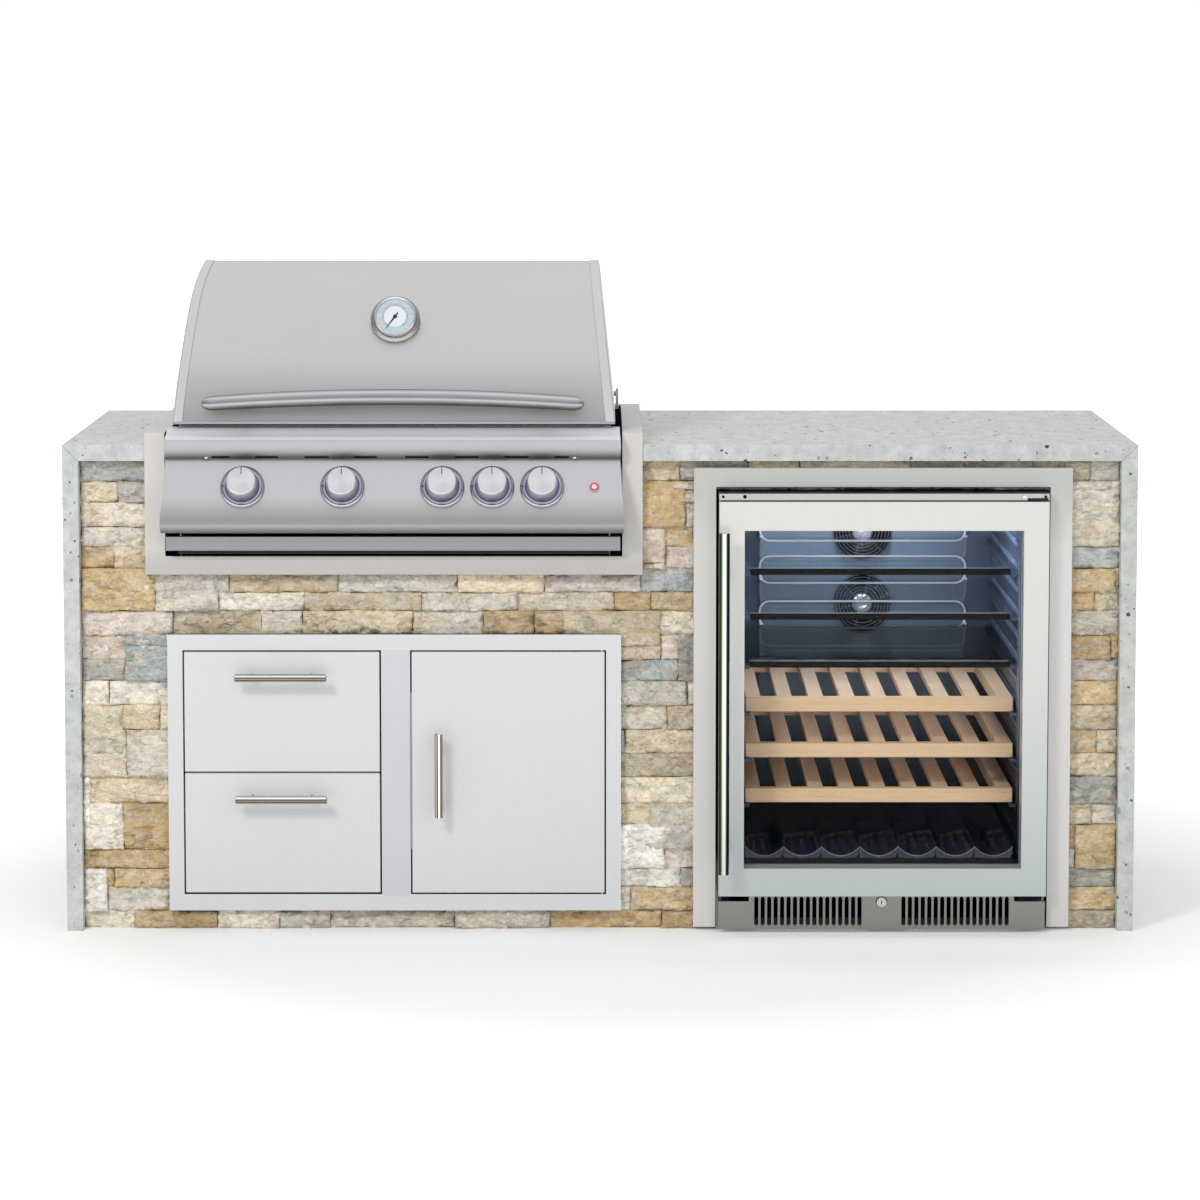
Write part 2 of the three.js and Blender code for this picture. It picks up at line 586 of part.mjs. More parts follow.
// Jacket: folded sheet liner with a face in front and a raised curb on the countertop
function grillJacket() {
  const outerX = half(jacketWidth);
  const curbRear = jacketRear + jacketStrip - jacketSheet;
  const seatOnCounter = islandHeight + seatGap;
  const sleeveOuter = sleeveHalf + jacketSheet;
  const faceSpan = [jacketFront, jacketFront + jacketSheet];
  const sheetTop = [jacketTop - jacketSheet, jacketTop];
  const pieces = [
    ...pair([sleeveHalf, outerX], faceSpan, [jacketBottom, jacketTop]),
    centered(jacketWidth, faceSpan, [jacketBottom, jacketBottom + jacketSill]),
    ...pair([outerX - jacketSheet, outerX], [jacketFront, trimBack], [jacketBottom, counterUnderside - seatGap]),
    centered(jacketWidth, [jacketFront, trimBack], [jacketBottom, jacketBottom + jacketSheet]),
    ...pair([sleeveHalf, sleeveOuter], [jacketFront, jacketRear], [jacketFloor, jacketTop]),
    centered(2 * sleeveOuter, [jacketFront, jacketRear], [jacketFloor, jacketFloor + jacketSheet]),
    centered(2 * sleeveOuter, [jacketRear - jacketSheet, jacketRear], [jacketFloor, jacketTop]),
    ...pair([sleeveHalf, outerX], [jacketFront, curbRear], sheetTop),
    centered(jacketWidth, [jacketRear - jacketSheet, curbRear], sheetTop),
    ...pair([outerX - jacketSheet, outerX], [jacketFront, curbRear], [seatOnCounter, jacketTop]),
    centered(jacketWidth, [curbRear - jacketSheet, curbRear], [seatOnCounter, jacketTop]),
  ];
  return join(pieces);
}
addPiece(grill, "grill_jacket", grillJacket(), greySheet);

// Firebox: open tray with a drain, ledges for what it carries and the ears of the hood hinge
const burnerXs = burnerShares.map((share) => share * burnerPitch);
const burnerSeat = burnerZ - half(burner.height) - seatGap;
function firebox() {
  const feet = jacketFloor + jacketSheet + seatGap;
  const floorTop = fireboxFloor + fireboxSheet;
  const front = fireboxFront + fireboxSheet;
  const rear = fireboxRear - fireboxSheet;
  const ledge = (seat) => [seat - seatGap - ledgeSheet, seat - seatGap];
  const shell = cut(centered(fireboxWidth, [fireboxFront, fireboxRear], [feet, fireboxTop]), [
    centered(2 * fireboxInner, [front, rear], [floorTop, fireboxTop + cutOverrun]),
    centered(2 * fireboxInner, [fireboxFront - cutOverrun, rear], [feet - cutOverrun, fireboxFloor]),
    centered(drainWidth, [half(front + rear) - half(drainLength), half(front + rear) + half(drainLength)],
      [fireboxFloor - cutOverrun, floorTop + cutOverrun]),
    ...burnerXs.map((x) => rod("y", [fireboxFront - cutOverrun, front + cutOverrun], [x, burnerZ],
      burner.neck + turningGap, turnedSides)),
  ]);
  const earInner = hoodHalf + hoodCap.proud;
  const earSpan = [earInner, earInner + earSheet];
  const earY = [hinge.y - half(earLength), hinge.y + half(earLength)];
  const pieces = [
    shell,
    ...pair([fireboxInner - trayRunner, fireboxInner], [front, rear], ledge(trayBottom)),
    ...pair([fireboxInner - ledgeDepth, fireboxInner], [front, rear], ledge(grateSeat)),
    centered(2 * fireboxInner, [front, front + ledgeDepth], ledge(grateSeat)),
    centered(2 * fireboxInner, [rear - ledgeDepth, rear], ledge(grateSeat)),
    centered(2 * fireboxInner, [front, front + ledgeDepth], ledge(tamerSeat)),
    centered(2 * fireboxInner, [rear - ledgeDepth, rear], ledge(tamerSeat)),
    centered(2 * fireboxInner, [rear - burnerShelf, rear], [burnerSeat - ledgeSheet, burnerSeat]),
    ...pair([fireboxInner, earSpan[1]], earY, [fireboxTop - ledgeDepth, fireboxTop - ledgeDepth + earFoot]),
    ...pair(earSpan, earY, [fireboxTop - ledgeDepth, hinge.z + half(earLength)]),
  ];
  for (const side of [-1, 1]) {
    const ends = [hoodHalf - hoodCap.width + hoodCap.sheet, earSpan[1]].map((x) => side * x).sort((a, b) => a - b);
    pieces.push(rod("x", ends, [hinge.y, hinge.z], hingePin.radius, turnedSides));
  }
  return join(pieces);
}
addPiece(grill, "firebox", firebox(), castIron);

// Hood profile: short skirt, long front curve, crest and rear curve, seen from the side
const skirtEnd = new THREE.Vector2(hoodFront + hoodSkirt.depth, hoodBottom + hoodSkirt.rise);
const backPoint = new THREE.Vector2(hoodFront + hoodDepth, hoodBottom + hoodBackRise);
const crestPoint = new THREE.Vector2(backPoint.x - hoodCrest.toBack, hoodBottom + hoodCrest.rise);
const frontPullShares = [[0.26, 0.81], [0.44, 0.885]];
const rearPullShares = [[0.56, 0.08], [1, 0.2]];
const betweenPoints = (start, end, [depthShare, riseShare]) => new THREE.Vector2(
  start.x + (end.x - start.x) * depthShare, start.y + (end.y - start.y) * riseShare);
const frontCurve = new THREE.CubicBezierCurve(
  skirtEnd,
  betweenPoints(skirtEnd, crestPoint, frontPullShares[0]),
  betweenPoints(skirtEnd, crestPoint, frontPullShares[1]),
  crestPoint);
const rearCurve = new THREE.CubicBezierCurve(
  crestPoint,
  betweenPoints(crestPoint, backPoint, rearPullShares[0]),
  betweenPoints(crestPoint, backPoint, rearPullShares[1]),
  backPoint);

function hoodLine(proud) {
  const points = [
    [hoodFront, hoodBottom],
    ...frontCurve.getPoints(hoodCurveSteps).map((point) => [point.x, point.y]),
    ...rearCurve.getPoints(hoodCurveSteps).slice(1).map((point) => [point.x, point.y]),
    [backPoint.x, hoodBottom],
  ];
  return offsetLine(points, proud).map(([y, z]) => [y, Math.max(z, hoodBottom)]);
}

// The ends of the hood lean inwards towards its crest.
const leaned = (piece) => shiftedAlongX(piece,
  (corner) => -hoodEndLean * ((corner.z - hoodBottom) / hoodCrest.rise));

const hoodSolid = (proud) => drawnAlongX(hoodLine(proud).reverse(), [-hoodHalf, hoodHalf]);

function hoodShell() {
  const shellHalf = hoodHalf - hoodCap.width - seatGap;
  const wall = [...hoodLine(0), ...hoodLine(-hoodSheet).reverse()];
  return leaned(drawnAlongX(wall.reverse(), [-shellHalf, shellHalf]));
}
addPiece(grill, "hood_shell", hoodShell(), stainless);

function hoodEnd(side) {
  const spanX = (from, to) => [side * from, side * to].sort((a, b) => a - b);
  const inner = hoodHalf - hoodCap.width;
  const outline = hoodLine(hoodCap.proud).reverse();
  const pocket = hoodLine(-hoodCap.sheet).reverse().map(([y, z]) => [y, Math.max(z, hoodBottom + hoodCap.sheet)]);
  const cap = cut(drawnAlongX(outline, spanX(inner, hoodHalf)), [
    drawnAlongX(pocket, spanX(inner - cutOverrun, hoodHalf - hoodCap.sheet)),
  ]);
  const boss = keepInside(
    rod("x", spanX(inner, hoodHalf), [hinge.y, hinge.z], hingePin.boss, turnedSides),
    drawnAlongX(outline, spanX(inner, hoodHalf)));
  const bore = rod("x", spanX(inner - cutOverrun, hoodHalf + cutOverrun), [hinge.y, hinge.z],
    hingePin.radius + turningGap, turnedSides);
  return cut(leaned(join([cap, boss])), [bore]);
}
addPiece(grill, "hood_end_left", hoodEnd(-1), stainless);
addPiece(grill, "hood_end_right", hoodEnd(1), stainless);

// Bowed hood handle on two posts
function bowedHandle() {
  const { radius, bow, reach, postRadius } = hoodHandle;
  const length = hoodWidth - 2 * hoodHandle.endInset;
  const postSpacing = length - 2 * hoodHandle.postInset;
  const centerZ = hoodBottom + hoodHandle.rise;
  const y = hoodFront - reach + half(radius);
  const path = new THREE.QuadraticBezierCurve3(
    new THREE.Vector3(-half(length), y, centerZ),
    new THREE.Vector3(0, y, centerZ + 2 * bow),
    new THREE.Vector3(half(length), y, centerZ));
  const section = [];
  for (let index = 0; index < hoodHandleSides; index += 1) {
    const angle = (2 * Math.PI * index) / hoodHandleSides;
    section.push([radius * Math.cos(angle), radius * Math.sin(angle)]);
  }
  const bar = new THREE.ExtrudeGeometry(toShape(section), { steps: hoodHandleSteps, extrudePath: path });
  const postShare = 1 - (postSpacing / length) ** 2;
  const posts = [-1, 1].map((side) => rod("y", [y, hoodFront + reach],
    [side * half(postSpacing), centerZ + bow * postShare], postRadius, barSides));
  return cut(join([bar, ...posts]), [hoodSolid(seatGap)]);
}
addPiece(grill, "hood_handle", bowedHandle(), chrome);

// Thermometer: ribbed housing that stands on the hood, and its needle
const gaugeBase = frontCurve.getPoint(thermometerShare);
const gaugeTurn = Math.PI / 2 - radians(thermometerTiltDegrees);
const dialRadius = gauge.skirt - gauge.rimInset - gauge.rimWidth;
function thermometer() {
  const { skirt, skirtRise, dialRise, root } = gauge;
  const [rim, rimRise] = [skirt - gauge.rimInset, dialRise + gauge.rimHeight];
  const profile = [[0, -root], [skirt, -root], [skirt, skirtRise], [rim, dialRise], [rim, rimRise],
    [dialRadius, rimRise], [dialRadius, dialRise], [0, dialRise]];
  const housing = place(turned(profile, turnedSides), [0, gaugeBase.x, gaugeBase.y], gaugeTurn);
  return cut(housing, [hoodSolid(seatGap)]);
}
addPiece(grill, "thermometer", thermometer(), whiteDial);

function gaugeNeedle() {
  const { tipGap, tail, width, sheet, hub } = needle;
  const pointer = toShape([[-half(width), -tail], [half(width), -tail], [0, dialRadius - tipGap]]);
  const blade = new THREE.ExtrudeGeometry(pointer, { depth: sheet, bevelEnabled: false });
  return join([blade, disc(hub, [0, sheet], barSides)]).rotateZ(radians(needleRestDegrees));
}
const needleMesh = addPiece(grill, "thermometer_needle", gaugeNeedle(), blackPlastic);
const needleRise = gauge.dialRise + seatGap;
needleMesh.rotation.x = gaugeTurn;
needleMesh.position.set(
  0,
  gaugeBase.x - needleRise * Math.sin(gaugeTurn),
  gaugeBase.y + needleRise * Math.cos(gaugeTurn));

// Control panel: one folded sheet with closed ends, open towards the firebox
const knobXs = knobShares.map((share) => share * knobPitch);
const faceTurn = Math.PI / 2 - faceTilt;
const onFace = (body, x) => place(body, [x, controlY, controlZ], faceTurn);
function panelLine() {
  const nose = new THREE.QuadraticBezierCurve(
    new THREE.Vector2(panelNose.topY, ledgeZ - panelNose.topDrop),
    new THREE.Vector2(panelNose.frontY, ledgeZ - panelNose.topDrop - panelSheet),
    new THREE.Vector2(panelNose.frontY, ledgeZ - panelNose.frontDrop));
  return [
    [fireboxFront - seatGap, ledgeZ],
    [panelLedge.y, ledgeZ],
    ...nose.getPoints(panelNoseSteps).map((point) => [point.x, point.y]),
    [panelCrease.y, creaseZ],
    [panelBulge.y, bulgeZ],
    [panelBulge.noseY, panelBottom + panelBulge.noseRise],
    [panelBulge.underY, panelBottom],
    [panelUnder.y, panelBottom],
  ];
}

function controlPanel() {
  const line = panelLine();
  const inner = offsetLine(line, panelSheet);
  inner[0] = [line[0][0] + cutOverrun, line[0][1] - panelSheet];
  inner[inner.length - 1] = [panelUnder.y + cutOverrun, panelBottom + panelSheet];
  const innerHalf = half(panelWidth) - panelSheet;
  const shell = cut(drawnAlongX(line, [-half(panelWidth), half(panelWidth)]),
    [drawnAlongX(inner, [-innerHalf, innerHalf])]);
  const flared = shiftedAlongX(shell,
    (corner) => panelFlare * (Math.max(0, panelCrease.y - corner.y) / (panelCrease.y - panelBulge.noseY)));
  const slots = panelSlotShares.map((ends) => block(ends.map((share) => share * half(panelWidth)),
    [panelNose.frontY - cutOverrun, panelCrease.y], [creaseZ + panelSlotRise, creaseZ + panelSlotRise + panelSlotHeight]));
  const through = [-2 * cutOverrun, cutOverrun];
  const stemHoles = knobXs.map((x) => onFace(disc(stemRadius + turningGap, through, turnedSides), x));
  const buttonHole = onFace(disc(lightButton.radius + turningGap, through, turnedSides), buttonX);
  return cut(flared, [...slots, ...stemHoles, buttonHole]);
}
addPiece(grill, "control_panel", controlPanel(), stainless);

// Gas manifold: pipe, five valves and their stems
function gasManifold() {
  const depthSpan = [-pipeDepth - half(pipeSize), -pipeDepth + half(pipeSize)];
  const reach = knobXs.at(-1) + valve.width;
  const pieces = [onFace(centered(2 * reach, [-half(pipeSize), half(pipeSize)], depthSpan), 0)];
  for (const x of knobXs) {
    const body = centered(valve.width, [-half(valve.width), half(valve.width)], [-valve.end, -valve.start]);
    pieces.push(onFace(body, x), onFace(disc(stemRadius, [-valve.end, stemReach], barSides), x));
  }
  return join(pieces);
}
addPiece(grill, "gas_manifold", gasManifold(), brass);

// Knobs, bezels and light button stand square to the sloped face
function bezelBody() {
  const { lip, hole, rise, step } = bezel;
  return turned([[hole, seatGap], [bezelRadius, seatGap], [bezelRadius, step], [bezelRadius - lip, rise],
    [hole, rise], [hole, seatGap]], knobSides);
}

function knobBody() {
  const { inset, taper, height, chamfer, stemGap, lift } = knob;
  const radius = bezelRadius - inset;
  const top = radius - taper;
  const base = bezel.rise + lift;
  const bore = stemRadius + turningGap;
  return turned([[0, stemReach + stemGap], [bore, stemReach + stemGap], [bore, base], [radius, base],
    [top, base + height - chamfer], [top - chamfer, base + height], [0, base + height]], knobSides);
}

knobXs.forEach((x, index) => {
  const control = new THREE.Group();
  control.position.set(x, controlY, controlZ);
  control.rotation.x = faceTurn;
  addPiece(control, `knob_bezel_${index + 1}`, bezelBody(), chrome);
  addPiece(control, `knob_${index + 1}`, knobBody(), stainless);
  grill.add(control);
});

function buttonBody() {
  const { radius, head, proud, depth, flange, flangeSheet, travel } = lightButton;
  return turned([[0, -depth], [flange, -depth], [flange, flangeSheet - depth], [radius, flangeSheet - depth],
    [radius, proud], [head, proud + travel], [0, proud + travel]], knobSides);
}
const buttonMesh = addPiece(grill, "light_button", buttonBody(), chrome);
buttonMesh.position.set(buttonX, controlY, controlZ);
buttonMesh.rotation.x = faceTurn;

// Four tube burners joined by their carry-over tube
function burners() {
  const { width, height, front, neck, neckFront } = burner;
  const tubes = burnerXs.flatMap((x) => [
    block([x - half(width), x + half(width)], [front, burnerRear], [burnerZ - half(height), burnerZ + half(height)]),
    rod("y", [neckFront, front + neck], [x, burnerZ], neck, barSides),
  ]);
  const carryOver = block([burnerXs[0], burnerXs.at(-1)], [burnerRear - crossover, burnerRear],
    [burnerZ - half(crossover), burnerZ + half(crossover)]);
  return join([...tubes, carryOver]);
}
addPiece(grill, "burners", burners(), castIron);

// Flame tamers: folded plates over the burners, hung in two cross bars
function flameTamers() {
  const { apart, height, sheet, bar } = tamer;
  const width = burnerPitch - apart;
  const front = fireboxFront + fireboxSheet + grateGap;
  const rear = fireboxRear - fireboxSheet - grateGap;
  const roof = toShape([
    [-half(width), 0], [0, height], [half(width), 0], [half(width) - 2 * sheet, 0],
    [0, height - 2 * sheet], [-half(width) + 2 * sheet, 0],
  ].reverse());
  const plates = burnerXs.map((x) => drawnAlongY(roof, [front, rear]).translate(x, 0, tamerSeat));
  const barZ = [tamerSeat, tamerSeat + sheet];
  const barWidth = 2 * (fireboxInner - grateGap);
  return join([...plates, centered(barWidth, [front, front + bar], barZ), centered(barWidth, [rear - bar, rear], barZ)]);
}
addPiece(grill, "flame_tamers", flameTamers(), stainless);

// Cooking grates: rods on two cross bars
const grateWidth = (2 * fireboxInner) / grateCount - 2 * grateGap;
function grate() {
  const front = fireboxFront + fireboxSheet + grateGap;
  const rear = fireboxRear - fireboxSheet - grateGap;
  const level = [grateSeat, grateSeat + grateRod];
  const pieces = [];
  for (let index = 0; index < grateRods; index += 1) {
    const x = (grateWidth - grateRod) * (index / (grateRods - 1) - 0.5);
    pieces.push(block([x - half(grateRod), x + half(grateRod)], [front, rear], level));
  }
  for (const y of [front + grateBarInset, rear - grateBarInset]) {
    pieces.push(centered(grateWidth, [y - half(grateRod), y + half(grateRod)], level));
  }
  return join(pieces);
}
["grate_left", "grate_middle", "grate_right"].forEach((name, index) => {
  addPiece(grill, name, grate(), castIron).position.x = (index - 1) * (grateWidth + 2 * grateGap);
});

// Warming rack on two legs that stand on the rear wall of the firebox
function warmingRack() {
  const wire = rack.rod;
  const width = fireboxWidth - 2 * rack.sideSpace;
  const rear = fireboxRear - rack.rearSpace;
  const front = rear - rack.depth;
  const legY = rear - rack.legInset;
  const z = fireboxTop + rack.rise;
  const level = [z, z + wire];
  const footZ = fireboxTop + seatGap;
  const pieces = [
    centered(width, [front, front + wire], level),
    centered(width, [rear - wire, rear], level),
    ...pair([half(width) - wire, half(width)], [legY, legY + wire], [footZ, z + wire]),
    ...pair([half(width) - wire, half(width)], [legY, fireboxRear], [footZ, footZ + half(wire)]),
  ];
  for (let index = 0; index < rackRods; index += 1) {
    const x = (width - wire) * (index / (rackRods - 1) - 0.5);
    pieces.push(block([x - half(wire), x + half(wire)], [front, rear], level));
  }
  return join(pieces);
}
addPiece(grill, "warming_rack", warmingRack(), chrome);

// Drip tray: shallow pan with a deep front
function dripTray() {
  const { front, sheet, rearSpace } = tray;
  const rear = fireboxRear - rearSpace;
  const panHalf = fireboxInner - traySideGap;
  const panFront = front + trayFrontThickness;
  const frontWidth = 2 * (sleeveHalf - trayFront.sideGap);
  const pan = centered(2 * panHalf, [panFront, rear], [trayBottom, trayTop]);
  const hollow = centered(2 * (panHalf - sheet), [panFront + sheet, rear - sheet],
    [trayBottom + sheet, trayTop + cutOverrun]);
  return join([cut(pan, [hollow]), centered(frontWidth, [front, panFront], [trayBottom + trayFront.lift, trayFrontTop])]);
}
addPiece(grill, "drip_tray", dripTray(), stainless);

// A flat front frame folded back at its edges; its inner part is closed and cut open later.
function foldedFrame(width, [z0, z1], [y0, y1], sheet) {
  const back = centered(width - 2 * sheet, [y0 + sheet, y1 + cutOverrun], [z0 + sheet, z1 - sheet]);
  return cut(centered(width, [y0, y1], [z0, z1]), [back]);
}

// Door and drawer unit: face frame, steel sleeve with two compartments, and drawer runners
const drawerWidth = unitPost.left - unitOpening.left;
const drawerCenterX = half(unitPost.left + unitOpening.left);
const drawerFrontHeight = half(unitOpening.top - unitOpening.bottom) - 1.5 * doorGap;
const drawerBottoms = [openingMiddle + half(doorGap), unitOpening.bottom + doorGap];
const leafAxis = [unitOpening.right - doorGap - leafPin.inset, unitFront + leafPin.inset];
function unitFrame() {
  const { left, right, bottom, top } = unitOpening;
  const open = [unitFront - cutOverrun, unitDepth - unitSheet];
  const sleeve = block([left - unitSheet, right + unitSheet], [unitFront, unitDepth],
    [bottom - unitSheet, top + unitSheet]);
  const face = foldedFrame(unitWidth, [unitBottom, unitTop], [unitFront, trimBack], unitSheet);
  const shell = cut(join([face, sleeve]), [
    block([left, unitPost.left], open, [bottom, top]),
    block([unitPost.right, right], open, [bottom, top]),
    block([unitPost.left + unitSheet, unitPost.right - unitSheet], [unitFront + unitSheet, unitDepth + cutOverrun],
      [bottom, top]),
  ]);
  const runners = drawerBottoms.flatMap((z) => {
    const seat = z + drawerBox.lift - seatGap;
    const level = [seat - runner.sheet, seat];
    const along = [runner.front, unitDepth - half(unitSheet)];
    return [
      block([left - half(unitSheet), left + runner.width], along, level),
      block([unitPost.left - runner.width, unitPost.left + half(unitSheet)], along, level),
    ];
  });
  const pins = [
    [bottom - half(unitSheet), bottom + doorGap + leafPin.length],
    [top - doorGap - leafPin.length, top + half(unitSheet)],
  ].map((span) => rod("z", span, leafAxis, leafPin.radius, barSides));
  return join([shell, ...runners, ...pins]);
}
addPiece(unit, "unit_frame", unitFrame(), paleSteel);

function drawer(bottom) {
  const frontWidth = drawerWidth - 2 * doorGap;
  const boxWidth = drawerWidth - 2 * drawerBox.sideGap;
  const { sheet, lift, drop, rearSpace } = drawerBox;
  const height = drawerFrontHeight - lift - drop;
  const rear = unitDepth - rearSpace;
  const boxFront = unitFront + unitSheet;
  const front = foldedFrame(frontWidth, [bottom, bottom + drawerFrontHeight],
    [unitFront, unitFront + leafThickness], unitSheet);
  const box = cut(centered(boxWidth, [half(unitFront + boxFront), rear], [bottom + lift, bottom + lift + height]), [
    centered(boxWidth - 2 * sheet, [boxFront + sheet, rear - sheet],
      [bottom + lift + sheet, bottom + lift + height + cutOverrun]),
  ]);
  return join([front, box]).translate(drawerCenterX, 0, 0);
}

// A straight bar handle on two posts, standing off a leaf whose face is at the given Y
function barPull(axis, centerX, centerZ, length, face) {
  const { radius, reach, postRadius, postSpacing } = barHandle;
  const y = face - reach;
  const isUpright = axis === "z";
  const along = isUpright ? centerZ : centerX;
  const across = isUpright ? [centerX, y] : [y, centerZ];
  const bar = rod(axis, [along - half(length), along + half(length)], across, radius, barSides);
  const posts = [-half(postSpacing), half(postSpacing)].map((step) => {
    const spot = isUpright ? [centerX, centerZ + step] : [centerX + step, centerZ];
    return rod("y", [y, face - seatGap], spot, postRadius, barSides);
  });
  return join([bar, ...posts]);
}

["upper_drawer", "lower_drawer"].forEach((name, index) => {
  const bottom = drawerBottoms[index];
  addPiece(unit, name, drawer(bottom), paleSteel);
  const handleZ = bottom + drawerFrontHeight - drawerHandleDrop;
  addPiece(unit, `${name}_handle`, barPull("x", drawerCenterX, handleZ, barHandle.length, unitFront), stainless);
});

function cupboardDoor() {
  const width = unitOpening.right - unitPost.right - 2 * doorGap;
  const [bottom, top] = [unitOpening.bottom + doorGap, unitOpening.top - doorGap];
  const leaf = foldedFrame(width, [bottom, top], [unitFront, unitFront + leafThickness], unitSheet)
    .translate(half(unitOpening.right + unitPost.right), 0, 0);
  const barrel = rod("z", [bottom, top], leafAxis, leafPin.inset, barSides);
  const bore = leafPin.radius + turningGap;
  return cut(join([leaf, barrel]), [
    rod("z", [bottom - cutOverrun, bottom + leafPin.length + seatGap], leafAxis, bore, barSides),
    rod("z", [top - leafPin.length - seatGap, top + cutOverrun], leafAxis, bore, barSides),
  ]);
}
addPiece(unit, "cupboard_door", cupboardDoor(), paleSteel);
addPiece(unit, "cupboard_door_handle",
  barPull("z", unitPost.right + doorGap + doorHandleInset, openingMiddle, doorHandleLength, unitFront), stainless);

// Refrigerator trim: three sided folded frame around the door
function fridgeTrim() {
  const { bottom, strip, head, front, sheet } = trim;
  const [width, top] = [trimWidth, trimTop];
  const opening = centered(width - 2 * strip, [front - cutOverrun, trimBack + cutOverrun],
    [bottom - cutOverrun, top - head]);
  const ring = cut(centered(width, [front, trimBack], [bottom, top]), [opening]);
  const channel = centered(width - 2 * sheet, [front + sheet, trimBack + cutOverrun],
    [bottom + sheet, top - sheet]);
  const keep = centered(width - 2 * strip + 2 * sheet, [front, trimBack + cutOverrun],
    [bottom - cutOverrun, top - head + sheet]);
  return cut(ring, [cut(channel, [keep])]);
}
addPiece(fridge, "fridge_trim", fridgeTrim(), greySheet);

// Refrigerator cabinet: insulated box, plinth tunnel, shelf ledges, fan wells, hinge plates and feet
const shelfLevels = [...glassLevels, ...woodLevels];
function fridgeCabinet() {
  const { front, bottom } = cabinet;
  const [width, rear, top] = [cabinetWidth, cabinetRear, cabinetTop];
  const cavityHalf = half(cavity.width);
  const shell = cut(centered(width, [front, rear], [bottom, top]), [
    centered(cavity.width, [front - cutOverrun, cavity.rear], [cavity.floor - seatGap, cavity.ceiling]),
    centered(width - 2 * plinth.wall, [front - cutOverrun, rear + cutOverrun], [plinth.floor, plinth.ceiling]),
    ...fanLevels.map((z) => rod("y", [cavity.rear - cutOverrun, cavity.rear + fanWell.depth], [0, z],
      fanWell.radius, turnedSides)),
  ]);
  const pieces = [shell, centered(fridgeWidth, [doorFront + capStrip.setback, front + cutOverrun], [capBottom, top])];
  for (const level of shelfLevels) {
    pieces.push(...pair([cavityHalf - shelfLedge.width, cavityHalf + seatGap],
      [shelfLedge.front, shelfRear], [level - seatGap - shelfLedge.sheet, level - seatGap]));
  }
  for (const z of fanLevels) {
    const shaftFront = cavity.rear + fanWell.depth - fan.depth - seatGap;
    pieces.push(rod("y", [shaftFront, cavity.rear + fanWell.depth + seatGap], [0, z], fanWell.shaft, barSides));
  }
  for (const side of [-1, 1]) {
    const inner = half(width) - fridgeFoot.inset;
    const xs = [side * (inner - fridgeFoot.width), side * inner].sort((a, b) => a - b);
    pieces.push(block(xs, [front + fridgeFoot.inset, front + fridgeFoot.inset + fridgeFoot.width], [0, plinth.floor]));
    pieces.push(block(xs, [rear - fridgeFoot.inset - fridgeFoot.width, rear - fridgeFoot.inset], [0, plinth.floor]));
  }
  pieces.push(...pair([antiTip.inset, antiTip.inset + antiTip.width],
    [frameFront, frameFront + antiTip.depth],
    [top - cutOverrun, claddingTop - railInset - angleLeg - seatGap]));
  const { pin, pinLength, plate, plateSheet } = doorHinge;
  const hingeAt = [fridgeAxis.x, fridgeAxis.y];
  pieces.push(block([half(width) - plate, half(width)], [fridgeAxis.y - pin, front + cutOverrun],
    [plateTop - plateSheet, plateTop]));
  pieces.push(block([half(width) - plate, half(width)], [front, front + cutOverrun], [plinth.floor, plateTop]));
  pieces.push(rod("z", [plateTop - half(plateSheet), plateTop + pinLength], hingeAt, pin, turnedSides));
  pieces.push(rod("z", [doorTop - pinLength, capBottom + pin], hingeAt, pin, turnedSides));
  return join(pieces);
}
addPiece(fridge, "fridge_cabinet", fridgeCabinet(), darkSteel);

// Circulation fans in the wells of the rear wall
function fanRotor(z) {
  const back = cavity.rear + fanWell.depth - seatGap;
  const frontY = back - fan.depth;
  const middle = half(back + frontY);
  const tip = fanWell.radius - fan.tipGap;
  const pieces = [rod("y", [frontY, back], [0, z], fan.hub, turnedSides)];
  for (let index = 0; index < fanBlades; index += 1) {
    const blade = block([half(fan.hub), tip], [-half(fan.blade), half(fan.blade)],
      [-half(fan.chord), half(fan.chord)]);
    blade.rotateX(radians(fanPitchDegrees)).rotateY((2 * Math.PI * index) / fanBlades);
    pieces.push(blade.translate(0, middle, z));
  }
  const room = rod("y", [frontY, back], [0, z], tip + cutOverrun, turnedSides);
  const bore = rod("y", [frontY - cutOverrun, back + cutOverrun], [0, z], fanWell.shaft + turningGap, barSides);
  return cut(keepInside(join(pieces), room), [bore]);
}
addPiece(fridge, "fan_upper", fanRotor(fanLevels[0]), blackPlastic);
addPiece(fridge, "fan_lower", fanRotor(fanLevels[1]), blackPlastic);

// Refrigerator door: folded steel frame, double pane, gasket and long bar handle
function fridgeDoorFrame() {
  const { bottom, thickness, sheet } = door;
  const [width, top, front] = [fridgeWidth, doorTop, doorFront];
  const back = front + thickness;
  const through = [front - cutOverrun, back + cutOverrun];
  const ring = cut(centered(width, [front, back], [bottom, top]),
    [centered(doorOpening.width, through, [doorOpening.bottom, doorOpening.top])]);
  const channel = centered(width - 2 * sheet, [front + sheet, back + cutOverrun], [bottom + sheet, top - sheet]);
  const keep = centered(doorOpening.width + 2 * sheet, through, [doorOpening.bottom - sheet, doorOpening.top + sheet]);
  const hole = doorHinge.pin + turningGap;
  return cut(ring, [
    cut(channel, [keep]),
    rod("z", [bottom - cutOverrun, bottom + sheet + cutOverrun], [fridgeAxis.x, fridgeAxis.y], hole, turnedSides),
    rod("z", [top - sheet - cutOverrun, top + cutOverrun], [fridgeAxis.x, fridgeAxis.y], hole, turnedSides),
  ]);
}
addPiece(fridge, "fridge_door_frame", fridgeDoorFrame(), stainless);

